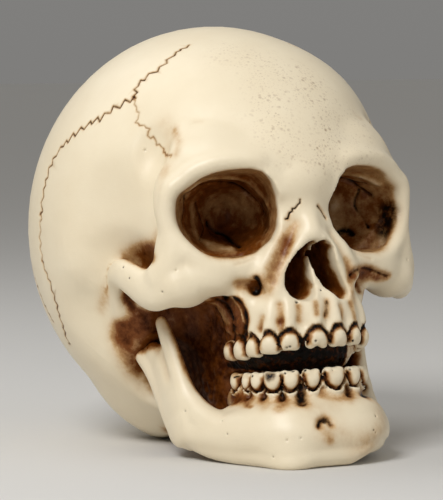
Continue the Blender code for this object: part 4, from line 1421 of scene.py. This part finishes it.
@dataclass(frozen=True)
class AgedResin:
    """Cast polyresin: poured ivory under a brown wash that was wiped off the high places.

    The wash gathers in the hollows and grooves, and the same browns paint the shade of the deep recesses. A
    thin wax leaves a satin gloss. Every size is in mm.
    """

    name: str = "cast_resin_antiqued"
    ivory: str = "E6D6B7"
    pale: str = "F0E3C7"
    tan: str = "C29A66"
    brown: str = "743E10"
    dark: str = "3A1703"
    black: str = "0E0906"
    speck: str = "865A2E"
    roughness: float = 0.42
    sooty_roughness: float = 0.32
    specular: float = 0.5
    washed_and_shaded_specular: float = 0.05
    wax: float = 0.03
    wax_roughness: float = 0.25
    # Amounts of wash and painted shade at which it is tan and brown, and at which it covers the ivory
    tan_at: float = 0.3
    brown_at: float = 0.62
    full_cover: float = 0.4
    grain_mm: float = 0.6
    grain_height_mm: float = 0.2
    cloud_mm: float = 16.7
    streak_mm: float = 3.85
    # Spacing of the specks, their size as a share of it, and their strength
    specks: tuple[Point, ...] = ((3.0, 0.32, 0.6), (1.6, 0.34, 0.5), (0.9, 0.36, 0.35))

    def build(self) -> bpy.types.Material:
        """Makes the material.

        Returns:
            The material.
        """
        material = bpy.data.materials.new(self.name)
        material.use_nodes = True
        tree = material.node_tree
        tree.nodes.clear()
        place = add_node(tree, "ShaderNodeTexCoord").outputs["Object"]
        patina, soot, freckle = (
            add_node(tree, "ShaderNodeAttribute", {"attribute_name": name}).outputs["Fac"]
            for name in ("patina", "soot", "freckle"))
        cloud, streak, grain = (
            add_node(tree, "ShaderNodeTexNoise",
                     {"Scale": 1 / (size * MM), "Detail": detail, "Roughness": rough},
                     {"Vector": place}).outputs["Fac"]
            for size, detail, rough in ((self.cloud_mm, 4.0, 0.6), (self.streak_mm, 5.0, 0.65),
                                        (self.grain_mm, 3.0, 0.5)))
        uneven = add_node(tree, "ShaderNodeMath", {"operation": "MULTIPLY_ADD", 1: 1.3, 2: 0.36}, {0: streak})
        # wash and painted shade, made uneven by the streaks
        washed_and_shaded = add_node(tree, "ShaderNodeMath", {"operation": "MULTIPLY", "use_clamp": True},
                          {0: patina, 1: uneven.outputs[0]}).outputs[0]
        last = self.colour(tree, washed_and_shaded, cloud)
        last = self.speckle(tree, last, place, streak, freckle)
        marble = add_node(tree, "ShaderNodeMapRange",
                          {"From Min": 0.38, "From Max": 0.54, "To Min": 0.6, "To Max": 1.15},
                          {"Value": streak})
        blotched = add_node(tree, "ShaderNodeMath", {"operation": "MULTIPLY", "use_clamp": True},
                            {0: marble.outputs[0], 1: soot})
        sooted = add_node(tree, "ShaderNodeMix", {"data_type": "RGBA", 7: linear(self.black)},
                          {0: blotched.outputs[0], 6: last})
        grime_and_shade = add_node(tree, "ShaderNodeMath", {"operation": "ADD", "use_clamp": True},
                         {0: washed_and_shaded, 1: soot})
        gloss = add_node(tree, "ShaderNodeMapRange",
                         {"To Min": self.specular, "To Max": self.washed_and_shaded_specular},
                         {"Value": grime_and_shade.outputs[0]})
        bump = add_node(tree, "ShaderNodeBump", {"Strength": 0.25, "Distance": self.grain_height_mm * MM},
                        {"Height": grain})
        shine = add_node(tree, "ShaderNodeMapRange",
                         {"To Min": self.roughness, "To Max": self.sooty_roughness}, {"Value": soot})
        shader = add_node(tree, "ShaderNodeBsdfPrincipled",
                          {"IOR": 1.5, "Coat Weight": self.wax, "Coat Roughness": self.wax_roughness},
                          {"Base Color": sooted.outputs[2], "Roughness": shine.outputs[0],
                           "Normal": bump.outputs[0], "Specular IOR Level": gloss.outputs[0]})
        add_node(tree, "ShaderNodeOutputMaterial", {}, {"Surface": shader.outputs[0]})
        return material

    def colour(self, tree: bpy.types.NodeTree, washed_and_shaded: bpy.types.NodeSocket,
               cloud: bpy.types.NodeSocket) -> bpy.types.NodeSocket:
        """Covers the clouded ivory with the wash and painted shade, from tan through brown to dark.

        Args:
            tree: The material's nodes.
            washed_and_shaded: Amount of the wash and painted shade.
            cloud: Slow change of the ivory.

        Returns:
            The colour.
        """
        base = add_node(tree, "ShaderNodeMix",
                        {"data_type": "RGBA", 6: linear(self.ivory), 7: linear(self.pale)}, {0: cloud})
        ramp = add_node(tree, "ShaderNodeValToRGB", {}, {"Fac": washed_and_shaded})
        stops = ramp.color_ramp.elements
        stops[1].position, stops[1].color = 1.0, linear(self.dark)
        for position, code in ((self.tan_at, self.tan), (self.brown_at, self.brown)):
            stop = stops.new(position)
            stop.color = linear(code)
        stops[0].color = linear(self.ivory)
        cover = add_node(tree, "ShaderNodeMapRange", {"From Min": 0.0, "From Max": self.full_cover},
                         {"Value": washed_and_shaded})
        return add_node(tree, "ShaderNodeMix", {"data_type": "RGBA"},
                        {0: cover.outputs[0], 6: base.outputs[2], 7: ramp.outputs["Color"]}).outputs[2]

    def speckle(self, tree: bpy.types.NodeTree, last: bpy.types.NodeSocket, place: bpy.types.NodeSocket,
                streak: bpy.types.NodeSocket, freckle: bpy.types.NodeSocket) -> bpy.types.NodeSocket:
        """Scatters specks of three sizes.

        Args:
            tree: The material's nodes.
            last: The colour under them.
            place: Object coordinates.
            streak: Pattern that thins them out in places.
            freckle: How many there are.

        Returns:
            The colour with the specks.
        """
        chosen = add_node(tree, "ShaderNodeMapRange", {"From Min": 0.36, "From Max": 0.58}, {"Value": streak})
        amount = add_node(tree, "ShaderNodeMath", {"operation": "MULTIPLY"},
                          {0: chosen.outputs[0], 1: freckle})
        for spacing, size, strength in self.specks:
            spots = add_node(tree, "ShaderNodeTexVoronoi", {"Scale": 1 / (spacing * MM)}, {"Vector": place})
            dots = add_node(tree, "ShaderNodeMapRange",
                            {"From Min": size, "From Max": size * 0.4, "To Max": strength},
                            {"Value": spots.outputs["Distance"]})
            dotted = add_node(tree, "ShaderNodeMath", {"operation": "MULTIPLY"},
                              {0: dots.outputs[0], 1: amount.outputs[0]})
            last = add_node(tree, "ShaderNodeMix", {"data_type": "RGBA", 7: linear(self.speck)},
                            {0: dotted.outputs[0], 6: last}).outputs[2]
        return last


@dataclass(frozen=True)
class Studio:
    """Pale floor, grey air that brightens upwards, and soft lamps, in metres and watts."""

    floor_size: float = 60.0
    floor_colour: str = "D3D1CD"
    floor_roughness: float = 0.8
    # The horizon is as bright as the floor far from the lamps
    horizon: str = "7F7E7C"
    zenith: str = "A3A2A0"
    aim: Point = (0, 0, 0.09)
    # Name, place, size and power of each lamp
    lamps: tuple = (
        ("key", (-0.9, -0.7, 1.1), 0.6, 16.0), ("fill", (0.6, -1.0, 0.6), 0.8, 1.4),
        ("rim", (-0.3, 0.55, 0.9), 0.8, 2.6),
    )

    def build(self) -> None:
        """Sets the floor, the world and the lamps."""
        self.lay_floor()
        self.grade_air()
        for name, place, size, power in self.lamps:
            lamp = bpy.data.lights.new(name, "AREA")
            lamp.energy = power
            lamp.size = size
            held = bpy.data.objects.new(name, lamp)
            bpy.context.scene.collection.objects.link(held)
            held.location = place
            held.rotation_mode = "QUATERNION"
            held.rotation_quaternion = (Vector(self.aim) - Vector(place)).to_track_quat("-Z", "Y")

    def lay_floor(self) -> None:
        """Lays the flat floor."""
        bm = bmesh.new()
        bmesh.ops.create_grid(bm, x_segments=1, y_segments=1, size=self.floor_size)
        mesh = bpy.data.meshes.new("floor")
        bm.to_mesh(mesh)
        bm.free()
        floor = bpy.data.objects.new("floor", mesh)
        bpy.context.scene.collection.objects.link(floor)
        paint = bpy.data.materials.new("floor_paint")
        paint.use_nodes = True
        shader = paint.node_tree.nodes["Principled BSDF"]
        shader.inputs["Base Color"].default_value = linear(self.floor_colour)
        shader.inputs["Roughness"].default_value = self.floor_roughness
        mesh.materials.append(paint)

    def grade_air(self) -> None:
        """Gives the world its grey, from the horizon to the zenith."""
        world = bpy.data.worlds.new("studio")
        world.use_nodes = True
        sky = world.node_tree
        way = add_node(sky, "ShaderNodeTexCoord").outputs["Generated"]
        upward = add_node(sky, "ShaderNodeSeparateXYZ", {}, {0: way})
        graded = add_node(sky, "ShaderNodeMix",
                          {"data_type": "RGBA", 6: linear(self.horizon), 7: linear(self.zenith)},
                          {0: upward.outputs["Z"]})
        sky.links.new(graded.outputs[2], sky.nodes["Background"].inputs["Color"])
        bpy.context.scene.world = world
        bpy.context.scene.view_settings.view_transform = "Standard"


@dataclass(frozen=True)
class WashAndShade:
    """The brown wash that stays where little of the surroundings is seen, when the rest is wiped off,
    and the shade that is painted there with it.

    Rays is the number of directions tried at each sample, reach how far away clay still shuts a place in, and
    spacing the distance between the samples. Sizes are in mm.
    """

    rays: int = 28
    reach: float = 34.0
    spacing: float = 3.0
    start_above: float = 0.6
    neighbours: int = 4
    rounds: int = 9
    # Share of wash, and of painted shade with it, in a fully shut-in place
    shut_wash_and_shade: float = 0.5
    groove_stain: float = 0.35
    groove_depth: float = 0.5
    groove_rounds: int = 6
    # Centre, reach and strength where more wash and painted shade are laid in shut-in places
    grime_and_shade: tuple = (
        ((32, -42, 38), (24, 40, 40), 0.75), ((52, -44, 78), (20, 24, 20), 0.8),
        ((50, -18, 50), (20, 26, 26), 0.6), ((62, -14, 64), (10, 10, 16), 0.5),
        ((24, -82, 28), (14, 14, 14), 0.5),
    )

    def directions(self) -> np.ndarray:
        """Ways that are spread evenly over the half sphere above a place."""
        turn = math.pi * (3 - math.sqrt(5))
        ways = []
        for number, z in enumerate((np.arange(self.rays) + 0.5) / self.rays):
            flat = math.sqrt(1 - z * z)
            ways.append((flat * math.cos(turn * number), flat * math.sin(turn * number), z))
        return np.array(ways)

    def shut_in(self, clays: list[Clay]) -> list[np.ndarray]:
        """Finds how shut in each place is.

        Args:
            clays: Every piece.

        Returns:
            For each piece, a share from 0 to 1 for each vertex.
        """
        whole = bmesh.new()
        for clay in clays:
            whole.from_mesh(clay.obj.data)
        tree = BVHTree.FromBMesh(whole)
        whole.free()
        ways = self.directions()
        found = []
        for clay in clays:
            places, normals = clay.points, clay.normals
            cells = np.unique(np.floor(places / self.spacing).astype(int), axis=0, return_index=True)[1]
            samples = KDTree(len(cells))
            seen = np.zeros(len(cells))
            for number, index in enumerate(cells):
                normal = Vector(normals[index])
                start = Vector(places[index]) + normal * self.start_above
                frame = np.array(normal.to_track_quat("Z", "Y").to_matrix())
                hits = [tree.ray_cast(start, Vector(frame @ way), self.reach)[0] for way in ways]
                seen[number] = sum(hit is not None for hit in hits) / self.rays
                samples.insert(Vector(places[index]), number)
            samples.balance()
            dark = np.zeros(len(places))
            for index, place in enumerate(places):
                total = weight = 0.0
                for _, number, far in samples.find_n(Vector(place), self.neighbours):
                    share = 1 / (far + 0.3) ** 2
                    total += share * seen[number]
                    weight += share
                dark[index] = total / weight
            found.append(clay.spread(dark, self.rounds))
        return found

    def groove(self, clay: Clay) -> np.ndarray:
        """How far each place lies below its smoothed surroundings, as a share of a full groove's depth."""
        places = clay.points
        above = clay.spread(places, self.groove_rounds) - places
        return (above * clay.normals).sum(axis=1) / self.groove_depth

    def lay(self, clays: list[Clay]) -> None:
        """Washes every piece and paints shade into its shut-in places, and wipes the lighter panels."""
        for clay, shut in zip(clays, self.shut_in(clays)):
            lift, places = clay.layers.pop("lift"), clay.points
            # wash and painted shade where shut in, then wash in the grooves and the chosen places
            wash = self.shut_wash_and_shade * step_up(shut, 0.5, 1.0)
            wash += self.groove_stain * step_up(self.groove(clay), 0.2, 1.0)
            for centre, reach, strength in self.grime_and_shade:
                away = (np.abs(places) * [1, 0, 0] + places * [0, 1, 1] - centre) / reach
                wash += strength * fade(np.linalg.norm(away, axis=1)) * step_up(shut, 0.25, 0.6)
            clay.layers["patina"] = (1 - (1 - clay.layers["patina"]) * (1 - np.clip(wash, 0, 1))) * (1 - lift)


def main() -> None:
    """Builds the skull and the studio."""
    logging.basicConfig(level=logging.INFO, format="%(relativeCreated)6d %(message)s")
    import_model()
    VIEW.make_camera()
    resin = AgedResin().build()
    maker = Cranium()
    cranium = maker.build()
    LOG.info("cranium modelled")
    mandible = Mandible().build()
    upper = crowns("upper_teeth", UPPER_TEETH, -1, 7.0)
    lower = crowns("lower_teeth", LOWER_TEETH, 1, 6.6)
    LOG.info("teeth modelled")
    pieces = ((cranium, CRANIUM_MARKS, UPPER_GUM), (mandible, MANDIBLE_MARKS, replace(LOWER_GUM, rim=1.3)),
              (upper, UPPER_MARKS, UPPER_GUM), (lower, LOWER_MARKS, LOWER_GUM))
    for seed, (clay, marks, gum) in enumerate(pieces):
        clay.work(marks, seed)
        gum.draw(clay)
    LOG.info("marks worked in")
    maker.stain(cranium)
    WashAndShade().lay([cranium, mandible, upper, lower])
    LOG.info("wash laid")
    cranium.cast(resin, "frontal_bone", "frontal_bone", "parietal_right", "parietal_left", "temporal_right",
                 "temporal_left", "occipital_bone", "cheekbone_right", "cheekbone_left", "nasal_bones",
                 "upper_jaw", "skull_base")
    mandible.cast(resin, "lower_jaw", "lower_jaw")
    upper.cast(resin, "upper_jaw")
    lower.cast(resin, "lower_jaw")
    Studio().build()


if __name__ == "__main__":
    main()
